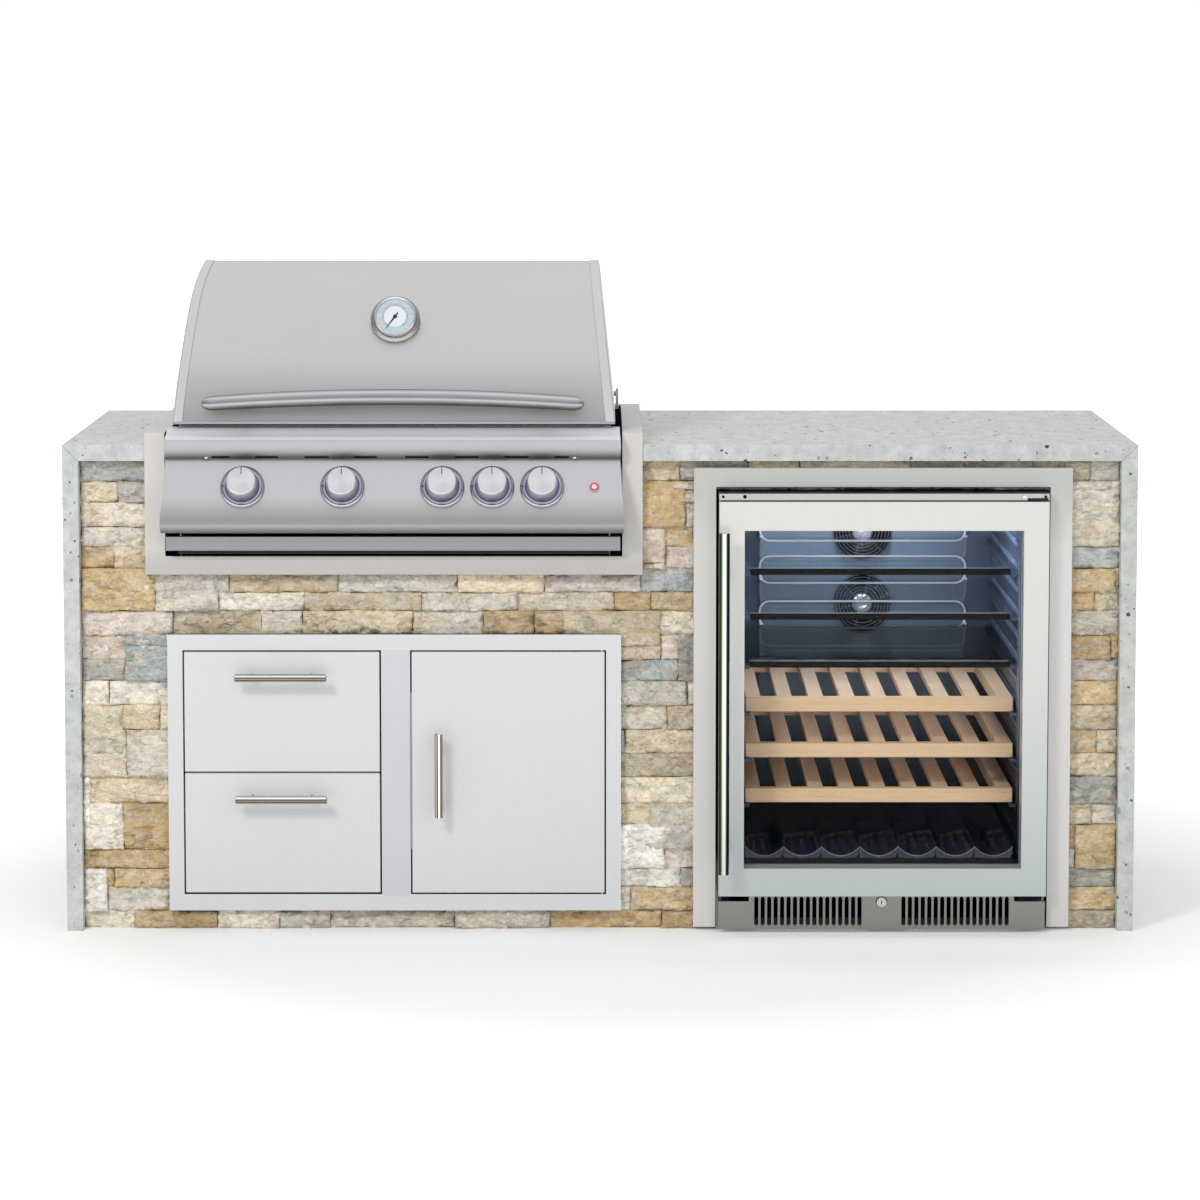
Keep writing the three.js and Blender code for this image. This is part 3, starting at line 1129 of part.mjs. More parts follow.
const paneBody = centered(doorOpening.width - 2 * seatGap, [doorFront + pane.setback, doorFront + pane.setback + pane.thickness],
  [doorOpening.bottom + seatGap, doorOpening.top - seatGap]);
addPiece(fridge, "fridge_door_glass", paneBody, clearGlass);

function doorGasket() {
  const depth = [doorFront + door.thickness + seatGap, cabinet.front - seatGap];
  const inner = centered(doorOpening.width + 2 * gasket.lap, [depth[0] - cutOverrun, depth[1] + cutOverrun],
    [doorOpening.bottom - gasket.lap, doorOpening.top + gasket.lap]);
  return cut(centered(fridgeWidth - 2 * gasket.inset, depth,
    [door.bottom + gasket.footInset, doorTop - gasket.headInset]), [inner]);
}
addPiece(fridge, "fridge_door_gasket", doorGasket(), rubber);

function fridgeHandle() {
  const { inset, footInset, headInset, radius, reach, post, postInset } = longHandle;
  const x = inset - half(fridgeWidth);
  const y = doorFront - reach;
  const [bottom, top] = [door.bottom + footInset, doorTop - headInset];
  const posts = [bottom + postInset, top - postInset].map((z) =>
    rod("y", [y, doorFront - seatGap], [x, z], post, barSides));
  return join([rod("z", [bottom, top], [x, y], radius, turnedSides), ...posts]);
}
addPiece(fridge, "fridge_door_handle", fridgeHandle(), chrome);

// Toe grille with two rows of upright slots and the hole of the lock
function slotPath(x, z, width, height) {
  const path = new THREE.Path();
  const radius = half(width);
  path.absarc(x, z + height - radius, radius, 0, Math.PI, false);
  path.absarc(x, z + radius, radius, Math.PI, 2 * Math.PI, false);
  path.closePath();
  return path;
}

function toeGrille() {
  const side = half(fridgeWidth);
  const notchX = side - cabinet.inset - doorHinge.plate - toe.notchGap;
  const outline = toShape([
    [-side, toe.bottom],
    [side, toe.bottom],
    [side, toeNotchBottom],
    [notchX, toeNotchBottom],
    [notchX, toeTop],
    [-notchX, toeTop],
    [-notchX, toeNotchBottom],
    [-side, toeNotchBottom],
  ]);
  const slotBottom = toe.bottom + toeSlot.footSpace;
  const slotHeight = toeTop - toeSlot.headSpace - slotBottom;
  const slotPitch = (notchX - toeSlot.endSpace - toeSlot.first) / (toeSlots - 1);
  for (let index = 0; index < toeSlots; index += 1) {
    const x = toeSlot.first + index * slotPitch;
    outline.holes.push(slotPath(x, slotBottom, toeSlot.width, slotHeight));
    outline.holes.push(slotPath(-x, slotBottom, toeSlot.width, slotHeight));
  }
  const face = drawnAlongY(outline, [toeFront, toeFront + toe.sheet]);
  const returns = pair([side - toeReturn.inset, side - toeReturn.inset + toe.sheet],
    [toeFront, cabinet.front - seatGap], [toe.bottom, toeNotchBottom - toeReturn.drop]);
  const lockHole = rod("y", [toeFront - cutOverrun, toeFront + toe.sheet + cutOverrun], [0, lockZ],
    lock.radius + turningGap, turnedSides);
  return cut(join([face, ...returns]), [lockHole]);
}
addPiece(fridge, "toe_grille", toeGrille(), stainless);

function doorLock() {
  const front = toeFront - lock.proud;
  const barrel = rod("y", [front, front + lock.depth], [0, lockZ], lock.radius, turnedSides);
  const cam = block([-half(lock.camWidth), half(lock.camWidth)],
    [front + lock.depth - toe.sheet, front + lock.depth], [lockZ - lock.cam, lockZ]);
  return join([barrel, cam]);
}
addPiece(fridge, "door_lock", doorLock(), chrome);

// Glass shelves with a black front trim and a wire guard at the rear
function shelfOfGlass(level) {
  const width = cavity.width - 2 * glassShelf.inset;
  const { front, sheet, trimHeight, trimDepth } = glassShelf;
  const { inset, low, high, wire, rearSpace } = guard;
  const edgeWidth = cavity.width - 2 * shelfLedge.width - 2 * glassShelf.inset;
  const guardWidth = cavity.width - 2 * inset;
  const guardY = [shelfRear - rearSpace, shelfRear - rearSpace + wire];
  return join([
    centered(width, [front, shelfRear], [level, level + sheet]),
    centered(edgeWidth, [front - trimDepth, front + seatGap], [level + sheet - trimHeight, level + sheet]),
    centered(guardWidth, guardY, [level + high - wire, level + high]),
    centered(guardWidth, guardY, [level + low, level + low + wire]),
    ...pair([half(guardWidth) - wire, half(guardWidth)], guardY, [level, level + high]),
  ]);
}
glassLevels.forEach((level, index) => {
  addPiece(fridge, `glass_shelf_${index + 1}`, shelfOfGlass(level), clearGlass);
});

// Wooden wine shelves: front and rear rail with slats between them
function shelfOfWood(level) {
  const { front, height, rail, slatSheet } = woodShelf;
  const [width, rear] = [cavity.width - 2 * woodShelf.inset, shelfRear];
  const slatWidth = width / (2 * slatCount - 1);
  const top = level + height;
  const pieces = [
    centered(width, [front, front + rail], [level, top]),
    centered(width, [rear - rail, rear], [level, top]),
  ];
  for (let index = 0; index < slatCount; index += 1) {
    const x = -half(width) + 2 * index * slatWidth;
    const isEdge = index === 0 || index === slatCount - 1;
    const bottom = isEdge ? level : top - slatSheet;
    pieces.push(block([x, x + slatWidth], [front + half(rail), rear - half(rail)], [bottom, top]));
  }
  return join(pieces);
}
woodLevels.forEach((level, index) => {
  addPiece(fridge, `wine_shelf_${index + 1}`, shelfOfWood(level), beech);
});

// Scalloped tray for bottles on the floor of the cabinet
function bottleTrayBody() {
  const { front, base, crest } = bottleTray;
  const [width, rear] = [cavity.width - 2 * bottleTray.inset, shelfRear];
  const pitch = width / scallops;
  const points = [[-half(width), 0], [half(width), 0]];
  for (let index = 0; index < scallops; index += 1) {
    for (let step = 0; step <= scallopSteps; step += 1) {
      if (index > 0 && step === 0) continue;
      const share = step / scallopSteps;
      const x = half(width) - (index + share) * pitch;
      points.push([x, crest - (crest - base) * Math.sin(Math.PI * share)]);
    }
  }
  return drawnAlongY(toShape(points), [front, rear]).translate(0, 0, cavity.floor);
}
addPiece(fridge, "bottle_tray", bottleTrayBody(), blackPlastic);

// Flat compressor on its base in the plinth
function compressorBody() {
  const { length, rearSpace, base, baseDepth, headroom } = compressor;
  const seat = plinth.floor + seatGap;
  const radius = half(plinth.ceiling - headroom - seat - half(base));
  const y = cabinetRear - rearSpace;
  const shell = rod("x", [-half(length), half(length)], [y, seat + base + radius - half(base)], radius, turnedSides);
  return join([shell, centered(length, [y - half(baseDepth), y + half(baseDepth)], [seat, seat + base])]);
}
addPiece(fridge, "compressor", compressorBody(), blackPlastic);

// The origin is on the floor under the middle of the whole object.
const reach = new THREE.Box3().setFromObject(model);
model.position.set(-half(reach.min.x + reach.max.x), -half(reach.min.y + reach.max.y), -reach.min.z);
model.updateMatrixWorld(true);

export default model;
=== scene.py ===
import math

import bmesh
import bpy
from mathutils import Matrix, Vector, noise


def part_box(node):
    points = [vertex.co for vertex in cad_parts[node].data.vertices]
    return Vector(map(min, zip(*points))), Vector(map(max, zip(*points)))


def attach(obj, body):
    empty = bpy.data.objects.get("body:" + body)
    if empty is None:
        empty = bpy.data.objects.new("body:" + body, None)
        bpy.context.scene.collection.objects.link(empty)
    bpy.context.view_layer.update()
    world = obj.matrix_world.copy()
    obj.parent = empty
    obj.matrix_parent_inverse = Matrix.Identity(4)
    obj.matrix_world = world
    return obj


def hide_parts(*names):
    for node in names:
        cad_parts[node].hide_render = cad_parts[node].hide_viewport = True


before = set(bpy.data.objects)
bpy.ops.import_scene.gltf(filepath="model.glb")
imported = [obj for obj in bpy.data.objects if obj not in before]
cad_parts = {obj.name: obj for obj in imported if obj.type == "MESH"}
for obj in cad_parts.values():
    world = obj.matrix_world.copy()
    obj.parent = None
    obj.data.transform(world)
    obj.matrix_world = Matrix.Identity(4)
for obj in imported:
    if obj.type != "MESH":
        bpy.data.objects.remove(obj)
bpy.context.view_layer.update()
scene = bpy.context.scene

# Welded frame: steel angle that carries the counter and the three built-in units.
# It is primed mild steel with a levelling foot under each post.
# Its sharp model edges are rounded off here as the rolled angle has them.
WELD = 1e-5
FLAT_DEGREES = 1.0
FRAME_EDGE = 0.0008


def tone(code):
    """A six digit screen colour as the linear colour that a shader takes."""
    parts = [int(code[start:start + 2], 16) / 255 for start in (0, 2, 4)]
    return (*[part / 12.92 if part <= 0.04045 else ((part + 0.055) / 1.055) ** 2.4 for part in parts], 1)


def feed(tree, socket, value):
    """Gives a socket a plain value, or links it to the socket that feeds it."""
    if isinstance(value, bpy.types.NodeSocket):
        tree.links.new(value, socket)
    else:
        socket.default_value = value


def add_node(tree, kind, inputs=None, **settings):
    """Adds a shader node; inputs are plain values or the sockets that feed them."""
    made = tree.nodes.new("ShaderNode" + kind)
    for key, value in settings.items():
        setattr(made, key, value)
    for key, value in (inputs or {}).items():
        feed(tree, made.inputs[key], value)
    return made


def math_node(tree, operation, first, second=0.5, third=0.0):
    return add_node(tree, "Math", {0: first, 1: second, 2: third}, operation=operation).outputs[0]


def mix_colour(tree, share, first, second, blend="MIX"):
    made = add_node(tree, "Mix", data_type="RGBA", blend_type=blend)
    for number, value in ((0, share), (6, first), (7, second)):
        feed(tree, made.inputs[number], value)
    return made.outputs[2]


def shaded(tree, colour, shade):
    """A colour times a shade of grey."""
    grey = add_node(tree, "CombineColor", {"Red": shade, "Green": shade, "Blue": shade}).outputs[0]
    return mix_colour(tree, 1.0, colour, grey, "MULTIPLY")


def share_of(tree, value, low, high, start=0.0, end=1.0):
    """How far a value has come from low to high, as a share or on the way from start to end."""
    limits = {"From Min": low, "From Max": high, "To Min": start, "To Max": end}
    return add_node(tree, "MapRange", {"Value": value, **limits}).outputs[0]


def noise_of(tree, place, scale, detail=2.0, **others):
    return add_node(
        tree, "TexNoise", {"Vector": place, "Scale": scale, "Detail": detail, **others}).outputs["Fac"]


def bumps_of(tree, height, strength, distance):
    return add_node(
        tree, "Bump", {"Height": height, "Strength": strength, "Distance": distance}).outputs[0]


def new_finish(name, **constants):
    """A material with its node tree, its Principled BSDF and the piece's own coordinates."""
    material = bpy.data.materials.new(name)
    material.use_nodes = True
    tree = material.node_tree
    surface = tree.nodes["Principled BSDF"]
    for key, value in constants.items():
        surface.inputs[key.replace("_", " ")].default_value = value
    return material, tree, surface, add_node(tree, "TexCoord").outputs["Object"]


def new_effect(name, inputs, outputs):
    """An effect that several materials share, as a node group with named inputs and outputs."""
    tree = bpy.data.node_groups.new(name, "ShaderNodeTree")
    for label, kind, value in inputs:
        socket = tree.interface.new_socket(label, in_out="INPUT", socket_type="NodeSocket" + kind)
        if value is not None:
            socket.default_value = value
    for label, kind in outputs:
        tree.interface.new_socket(label, in_out="OUTPUT", socket_type="NodeSocket" + kind)
    return tree, tree.nodes.new("NodeGroupInput").outputs, tree.nodes.new("NodeGroupOutput").inputs


def link_up(tree, sockets, **values):
    """Links values to the sockets that they name, where _ stands for a blank."""
    for name, value in values.items():
        tree.links.new(value, sockets[name.replace("_", " ")])


def use_effect(tree, effect, inputs):
    made = tree.nodes.new("ShaderNodeGroup")
    made.node_tree = effect
    for key, value in inputs.items():
        feed(tree, made.inputs[key], value)
    return made.outputs


def fit(name, shape, material, body, nodes=(), bevel=0.0, smooth_degrees=35, segments=2):
    """Turns a shape into a piece of the island, with its finish, its body and the solids it stands for."""
    mesh = bpy.data.meshes.new(name)
    shape.to_mesh(mesh)
    shape.free()
    piece = bpy.data.objects.new(name, mesh)
    scene.collection.objects.link(piece)
    mesh.materials.append(material)
    mesh.polygons.foreach_set("use_smooth", [True] * len(mesh.polygons))
    mesh.set_sharp_from_angle(angle=math.radians(smooth_degrees))
    if bevel:
        edges = piece.modifiers.new("edges", "BEVEL")
        edges.width = bevel
        edges.segments = segments
        edges.limit_method = "ANGLE"
        edges.angle_limit = math.radians(smooth_degrees)
        edges.harden_normals = True
    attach(piece, body)
    if nodes:
        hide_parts(*nodes)
    return piece


def solid_of(node):
    """A construction solid as a shape whose flat faces are whole again."""
    shape = bmesh.new()
    shape.from_mesh(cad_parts[node].data)
    bmesh.ops.remove_doubles(shape, verts=shape.verts, dist=WELD)
    bmesh.ops.dissolve_limit(
        shape, angle_limit=math.radians(FLAT_DEGREES), verts=shape.verts, edges=shape.edges)
    return shape


def softened(node, material, body, bevel, segments=2):
    """The solid itself with broken edges, for pieces whose shape the construction model has in full."""
    return fit(node + "_finished", solid_of(node), material, body, [node], bevel, segments=segments)


def primer_finish():
    material, tree, surface, place = new_finish("frame_primer", Roughness=0.7, Metallic=0.2)
    cloud = noise_of(tree, place, 9.0, 5.0)
    link_up(tree, surface.inputs, Base_Color=mix_colour(tree, cloud, tone("5d6164"), tone("83888a")))
    return material


softened("steel_frame", primer_finish(), "island", FRAME_EDGE)

# Counter and waterfall slabs: engineered quartz, polished, mitred where the slabs meet the counter.
# The stone is a pale grey green paste with dark and milky chips of a few millimetres.
SLAB_EDGE = 0.0007
CHIP_FLATNESS = (1.0, 0.5, 1.0)
# For each kind of chip: cells in a metre, size in a cell, share of the cells, tone and its depth.
CHIPS = (
    (190.0, 0.26, 0.2, "9a9f9d", 0.75), (120.0, 0.26, 0.07, "3e4448", 0.85),
    (62.0, 0.22, 0.12, "7c8385", 0.7), (52.0, 0.19, 0.07, "23292e", 0.95),
    (30.0, 0.15, 0.05, "39424b", 0.9), (26.0, 0.34, 0.1, "e6e8e5", 0.35))


def shaken_place(tree, place, scale, detail, reach):
    """Coordinates that wander by a noise, so that the borders of a pattern aren't straight."""
    wobble = add_node(tree, "TexNoise", {"Vector": place, "Scale": scale, "Detail": detail})
    shaken = add_node(
        tree, "VectorMath", {0: wobble.outputs["Color"], 1: (0.5, 0.5, 0.5)}, operation="SUBTRACT")
    return add_node(tree, "VectorMath", {0: shaken.outputs[0], 1: (reach, reach, reach), 2: place},
                    operation="MULTIPLY_ADD").outputs[0]


def chips_effect():
    """Chips scattered through stone: a mask that is 1 inside some of the cells of a cell pattern."""
    tree, given, result = new_effect(
        "scattered_chips",
        [("Vector", "Vector", None), ("Scale", "Float", 60.0),
         ("Size", "Float", 0.25), ("Share", "Float", 0.15)],
        [("Mask", "Float")])
    moved = shaken_place(tree, given["Vector"], 180.0, 3.0, 0.007)
    cells = add_node(tree, "TexVoronoi", {"Vector": moved, "Scale": given["Scale"]})
    luck = add_node(tree, "SeparateColor", {"Color": cells.outputs["Color"]})
    chosen = math_node(tree, "LESS_THAN", luck.outputs["Red"], given["Share"])
    reach = math_node(tree, "MULTIPLY", given["Size"], math_node(tree, "ADD", luck.outputs["Green"], 0.35))
    near = share_of(tree, math_node(tree, "SUBTRACT", cells.outputs["Distance"], reach), 0.03, -0.03)
    link_up(tree, result, Mask=math_node(tree, "MULTIPLY", chosen, near))
    return tree


scattered_chips = chips_effect()


def quartz_finish():
    material, tree, surface, place = new_finish("quartz", Roughness=0.4, Specular_IOR_Level=0.25)
    place = add_node(tree, "Mapping", {"Vector": place, "Scale": CHIP_FLATNESS}).outputs["Vector"]
    cloud = noise_of(tree, place, 34.0, 7.0, Roughness=0.72)
    fine = noise_of(tree, place, 300.0, 3.0)
    colour = mix_colour(tree, share_of(tree, cloud, 0.36, 0.64), tone("c2c6c4"), tone("e1e4e1"))
    colour = mix_colour(tree, math_node(tree, "MULTIPLY", fine, 0.35), colour, tone("aeb1af"))
    for scale, size, share, chip, depth in CHIPS:
        spots = {"Vector": place, "Scale": scale, "Size": size, "Share": share}
        mask = use_effect(tree, scattered_chips, spots)["Mask"]
        colour = mix_colour(tree, math_node(tree, "MULTIPLY", mask, depth), colour, tone(chip))
    rough = math_node(tree, "MULTIPLY_ADD", cloud, 0.12, 0.34)
    link_up(tree, surface.inputs, Base_Color=colour, Roughness=rough)
    return material


quartz = quartz_finish()
for slab_node in ("countertop", "side_slab_left", "side_slab_right"):
    softened(slab_node, quartz, "island", SLAB_EDGE, 3)

# Ledgestone: strips of split sandstone and quartzite, set dry in courses on a dark cement board.
# Each stone is its own rough face with broken edges; every course has its own lengths and depths.
# The front wall is left open where the units pass through, the rear wall where the vent sits.
COURSES = 21
COURSE_SPREAD = 0.22
STONE_LENGTH = 0.150
LENGTH_SPREAD = 0.62
RELIEFS = (0.2, 0.45, 0.7, 1.0)
TALL_SHARE = 0.16
RELIEF_DEPTH = 0.012
JOINT = 0.0005
GRID_STEP = 0.0052
FACE_ROUGHNESS = 0.0082
EDGE_FALL = 0.0036
EDGE_REACH = 0.0018
EDGE_WOBBLE = 0.0020
LEAN = 0.0022
RIM_DEPTH = 0.001
LEAST_DEPTH = 0.0008
BOARD_SHEET = 0.012
STONE_TONES = (
    "f4ecda", "eadcbe", "d2b98f", "f3efe6", "d6d1c5", "b5b3ab", "e6dbc9", "c6ab80",
    "faf6ee", "dccdb0", "aba9a1", "ece4d5", "d4bc92", "e9e2d2", "efe4ca", "c9bda6", "bcc4c4", "ded2c7")


def lucky_numbers(seed):
    state = seed
    while True:
        state = (state * 16807) % 2147483647
        yield state / 2147483647


def rest_of(stone, hole):
    """What is left of a stone's rectangle outside an opening, as up to four rectangles."""
    left, right, bottom, top = stone
    hole_left, hole_right, hole_bottom, hole_top = hole
    if right <= hole_left or left >= hole_right or top <= hole_bottom or bottom >= hole_top:
        return [stone]
    middle_bottom, middle_top = max(bottom, hole_bottom), min(top, hole_top)
    parts = [(left, hole_left, middle_bottom, middle_top), (hole_right, right, middle_bottom, middle_top),
             (left, right, bottom, hole_bottom), (left, right, hole_top, top)]
    return [part for part in parts if part[1] - part[0] > 3 * JOINT and part[3] - part[2] > 3 * JOINT]


def lay_stones(seed, left, right, height, holes):
    """The rectangles, relief shares and tones of a wall of stones."""
    luck = lucky_numbers(seed)
    tones = lucky_numbers(seed + 7)
    rises = [1 - COURSE_SPREAD + 2 * COURSE_SPREAD * next(luck) for course in range(COURSES)]
    levels = [height * sum(rises[:course]) / sum(rises) for course in range(COURSES + 1)]
    stones = []
    for course in range(COURSES):
        x = left - STONE_LENGTH * next(luck)
        while x < right:
            length = STONE_LENGTH * (1 - LENGTH_SPREAD + 2 * LENGTH_SPREAD * next(luck))
            is_tall = next(luck) < TALL_SHARE and course + 1 < COURSES
            relief = 0.0 if is_tall else RELIEFS[int(next(luck) * len(RELIEFS))]
            span = (max(x, left), min(x + length, right))
            rectangles = [(*span, levels[course], levels[course + (2 if is_tall else 1)])]
            for hole in holes:
                rectangles = [part for rectangle in rectangles for part in rest_of(rectangle, hole)]
            colour = tone(STONE_TONES[int(next(tones) * len(STONE_TONES))])
            shade = 0.86 + 0.36 * next(tones)
            stones += [(part, relief, [shade * value for value in colour[:3]]) for part in rectangles
                       if part[1] - part[0] > 3 * JOINT]
            x += length
    return stones


def sheet(shape, rows, is_flipped=False):
    """The faces between rows of points."""
    faces = []
    for first, second in zip(rows, rows[1:]):
        for column in range(len(first) - 1):
            quad = [first[column], first[column + 1], second[column + 1], second[column]]
            faces.append(shape.faces.new(quad[::-1] if is_flipped else quad))
    return faces


def split_face(shape, colour_layer, number, stone, back, side):
    """One stone: a rough grid in front of its backer, with broken edges. side is -1 for the front wall."""
    (left, right, bottom, top), relief, colour = stone
    left, right, bottom, top = left + JOINT, right - JOINT, bottom + JOINT, top - JOINT
    columns = max(3, round((right - left) / GRID_STEP))
    rows = max(2, round((top - bottom) / GRID_STEP))
    proud = RELIEF_DEPTH * (1 - relief)
    tilt_x = LEAN * noise.noise(Vector((number * 1.7, 3.1, 0)))
    tilt_z = LEAN * noise.noise(Vector((number * 2.3, 9.4, 0)))
    grid = []
    for row in range(rows + 1):
        line = []
        for column in range(columns + 1):
            x = left + (right - left) * column / columns
            z = bottom + (top - bottom) * row / rows
            spot = Vector((x * 16, number * 3.7, z * 30))
            ridge = 0.5 - abs(noise.noise(spot * 1.6 + Vector((7.0, 0.0, 3.0))))
            rough = 0.4 * noise.noise(spot) + 0.4 * ridge + 0.3 * noise.noise(spot * 3.1)
            rough += 0.22 * noise.noise(spot * 7.3)
            steps = 0.6 * noise.cell(Vector((x * 20 + 4 * rough, number * 1.3, z * 70 + 3 * rough)))
            edge = min(x - left, right - x, z - bottom, top - z)
            fall = EDGE_FALL * math.exp(-edge / EDGE_REACH) * (0.75 + 0.5 * noise.noise(spot * 3.3))
            lean = tilt_x * (2 * column / columns - 1) + tilt_z * (2 * row / rows - 1)
            depth = proud + FACE_ROUGHNESS * (rough + 0.4 * steps) + lean - fall
            wobble = EDGE_WOBBLE * noise.noise(spot * 1.9)
            if edge < WELD:
                x += wobble * (1 if column == 0 else -1 if column == columns else 0)
                z = max(0.0, z + wobble * (1 if row == 0 else -1 if row == rows else 0))
            line.append(shape.verts.new((x, back + side * max(depth, LEAST_DEPTH), z)))
        grid.append(line)
    border = grid[0][:-1] + [line[-1] for line in grid[:-1]]
    border += grid[-1][:0:-1] + [line[0] for line in grid[:0:-1]]
    rim = [shape.verts.new((vertex.co.x, back - side * RIM_DEPTH, vertex.co.z)) for vertex in border]
    faces = sheet(shape, grid, side > 0)
    for index in range(len(border)):
        after = (index + 1) % len(border)
        quad = [border[index], rim[index], rim[after], border[after]]
        faces.append(shape.faces.new(quad if side < 0 else quad[::-1]))
    for face in faces:
        for loop in face.loops:
            loop[colour_layer] = (*colour, 1.0)


def stone_wall(name, node, seed, holes, side):
    low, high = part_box(node)
    back = high.y - BOARD_SHEET if side < 0 else low.y + BOARD_SHEET
    shape = bmesh.new()
    colour_layer = shape.loops.layers.float_color.new("stone_tone")
    for number, stone in enumerate(lay_stones(seed, low.x, high.x, high.z - low.z, holes)):
        split_face(shape, colour_layer, number + seed, stone, back, side)
    fit(name, shape, ledgestone, "island", [node], smooth_degrees=75)


def facets_effect():
    """Split stone: flat facets that each tilt their own way, as a height in metres, and each one's share."""
    tree, given, result = new_effect(
        "split_facets",
        [("Vector", "Vector", None), ("Scale", "Float", 40.0)],
        [("Height", "Float"), ("Share", "Float")])
    moved = shaken_place(tree, given["Vector"], 45.0, 4.0, 0.03)
    cells = add_node(tree, "TexVoronoi", {"Vector": moved, "Scale": given["Scale"]})
    away = add_node(tree, "VectorMath", {0: moved, 1: cells.outputs["Position"]}, operation="SUBTRACT")
    lean = add_node(tree, "VectorMath", {0: cells.outputs["Color"], 1: (0.5, 0.5, 0.5)}, operation="SUBTRACT")
    height = add_node(tree, "VectorMath", {0: away.outputs[0], 1: lean.outputs[0]}, operation="DOT_PRODUCT")
    luck = add_node(tree, "SeparateColor", {"Color": cells.outputs["Color"]})
    link_up(tree, result, Height=height.outputs["Value"], Share=luck.outputs["Green"])
    return tree


split_facets = facets_effect()


def ledgestone_finish():
    material, tree, surface, place = new_finish("ledgestone", Roughness=0.88)
    colour = add_node(
        tree, "Attribute", attribute_name="stone_tone", attribute_type="GEOMETRY").outputs["Color"]
    laid, layers, split = [
        add_node(tree, "Mapping", {"Vector": place, "Scale": scale}).outputs["Vector"]
        for scale in ((1.0, 1.0, 2.6), (7.0, 7.0, 150.0), (1.0, 1.0, 1.5))]
    veins = noise_of(tree, laid, 11.0, 7.0, Distortion=1.2)
    crust = noise_of(tree, laid, 34.0, 8.0, Roughness=0.62)
    grit = noise_of(tree, place, 240.0, 6.0, Roughness=0.7)
    bedding = noise_of(tree, layers, 1.0, 5.0, Distortion=0.6)
    for value, low, high, depth, code in (
            (veins, 0.5, 0.7, 0.38, "bf9f6c"), (veins, 0.48, 0.34, 0.38, "a3a59f"),
            (crust, 0.48, 0.64, 0.3, "f3ede0")):
        share = math_node(tree, "MULTIPLY", share_of(tree, value, low, high), depth)
        colour = mix_colour(tree, share, colour, tone(code))
    coarse = use_effect(tree, split_facets, {"Vector": split, "Scale": 34.0})
    small = use_effect(tree, split_facets, {"Vector": split, "Scale": 95.0})
    shade = math_node(tree, "MULTIPLY_ADD", share_of(tree, grit, 0.36, 0.5), 0.18, 0.86)
    # Each facet's share lightens or darkens it: partly the stone's own tone, partly painted light and shade
    # on the split faces.
    for value, depth, least in (
            (bedding, 0.3, 0.87), (coarse["Share"], 0.20, 0.93), (small["Share"], 0.16, 0.93)):
        shade = math_node(tree, "MULTIPLY", shade, math_node(tree, "MULTIPLY_ADD", value, depth, least))
    height = 0.0
    for value, metres in (
            (coarse["Height"], 0.72), (small["Height"], 0.66), (grit, 0.0013), (bedding, 0.0007)):
        height = math_node(tree, "MULTIPLY_ADD", value, metres, height)
    link_up(tree, surface.inputs, Base_Color=shaded(tree, colour, shade),
            Normal=bumps_of(tree, height, 0.9, 1.0))
    return material


def cement_finish():
    material, tree, surface, place = new_finish("cement_board", Roughness=0.95)
    grit = noise_of(tree, place, 130.0, 6.0)
    link_up(tree, surface.inputs, Base_Color=mix_colour(tree, grit, tone("5a5245"), tone("857b69")),
            Normal=bumps_of(tree, grit, 0.6, 0.001))
    return material


def board(name, span, y_span, height, holes, material):
    """A flat board with openings, made of the cells that the openings leave."""
    xs = sorted({*span, *[value for hole in holes for value in hole[:2]]})
    zs = sorted({0.0, height, *[min(max(value, 0.0), height) for hole in holes for value in hole[2:]]})
    shape = bmesh.new()
    for x0, x1 in zip(xs, xs[1:]):
        for z0, z1 in zip(zs, zs[1:]):
            x, z = (x0 + x1) / 2, (z0 + z1) / 2
            if any(left < x < right and bottom < z < top for left, right, bottom, top in holes):
                continue
            corners = ((x0, z0), (x1, z0), (x1, z1), (x0, z1))
            shape.faces.new([shape.verts.new((x, y_span[0], z)) for x, z in corners])
    bmesh.ops.remove_doubles(shape, verts=shape.verts, dist=WELD)
    thick = bmesh.ops.extrude_face_region(shape, geom=shape.faces[:])
    moved = [item for item in thick["geom"] if isinstance(item, bmesh.types.BMVert)]
    bmesh.ops.translate(shape, verts=moved, vec=(0, y_span[1] - y_span[0], 0))
    bmesh.ops.recalc_face_normals(shape, faces=shape.faces)
    fit(name, shape, material, "island")


ledgestone = ledgestone_finish()
cement = cement_finish()
jacket_low, jacket_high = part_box("grill_jacket")
unit_low, unit_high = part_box("unit_frame")
trim_low, trim_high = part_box("fridge_trim")
wall_low, wall_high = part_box("stone_front")
rear_low, rear_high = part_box("stone_rear")
vent_low, vent_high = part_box("rear_vent")
UNIT_FLANGE = 0.024
JACKET_FLANGE = 0.034
JACKET_SILL = 0.0205
TRIM_FLANGE = 0.042
VENT_BORDER = 0.024
BOARD_GAP = 0.0001
front_holes = [
    (jacket_low.x + JACKET_FLANGE, jacket_high.x - JACKET_FLANGE, jacket_low.z + JACKET_SILL, 1.0),
    (unit_low.x + UNIT_FLANGE, unit_high.x - UNIT_FLANGE,
     unit_low.z + UNIT_FLANGE, unit_high.z - UNIT_FLANGE),
    (trim_low.x + TRIM_FLANGE, trim_high.x - TRIM_FLANGE, -1.0, trim_high.z - TRIM_FLANGE)]
rear_holes = [(vent_low.x + VENT_BORDER, vent_high.x - VENT_BORDER,
               vent_low.z + VENT_BORDER, vent_high.z - VENT_BORDER)]
board_depth = BOARD_SHEET - BOARD_GAP
stone_wall("ledgestone_front", "stone_front", 20, front_holes, -1)
board("cement_board_front", (wall_low.x, wall_high.x), (wall_high.y - board_depth, wall_high.y),
      wall_high.z, front_holes, cement)
stone_wall("ledgestone_rear", "stone_rear", 43, rear_holes, 1)
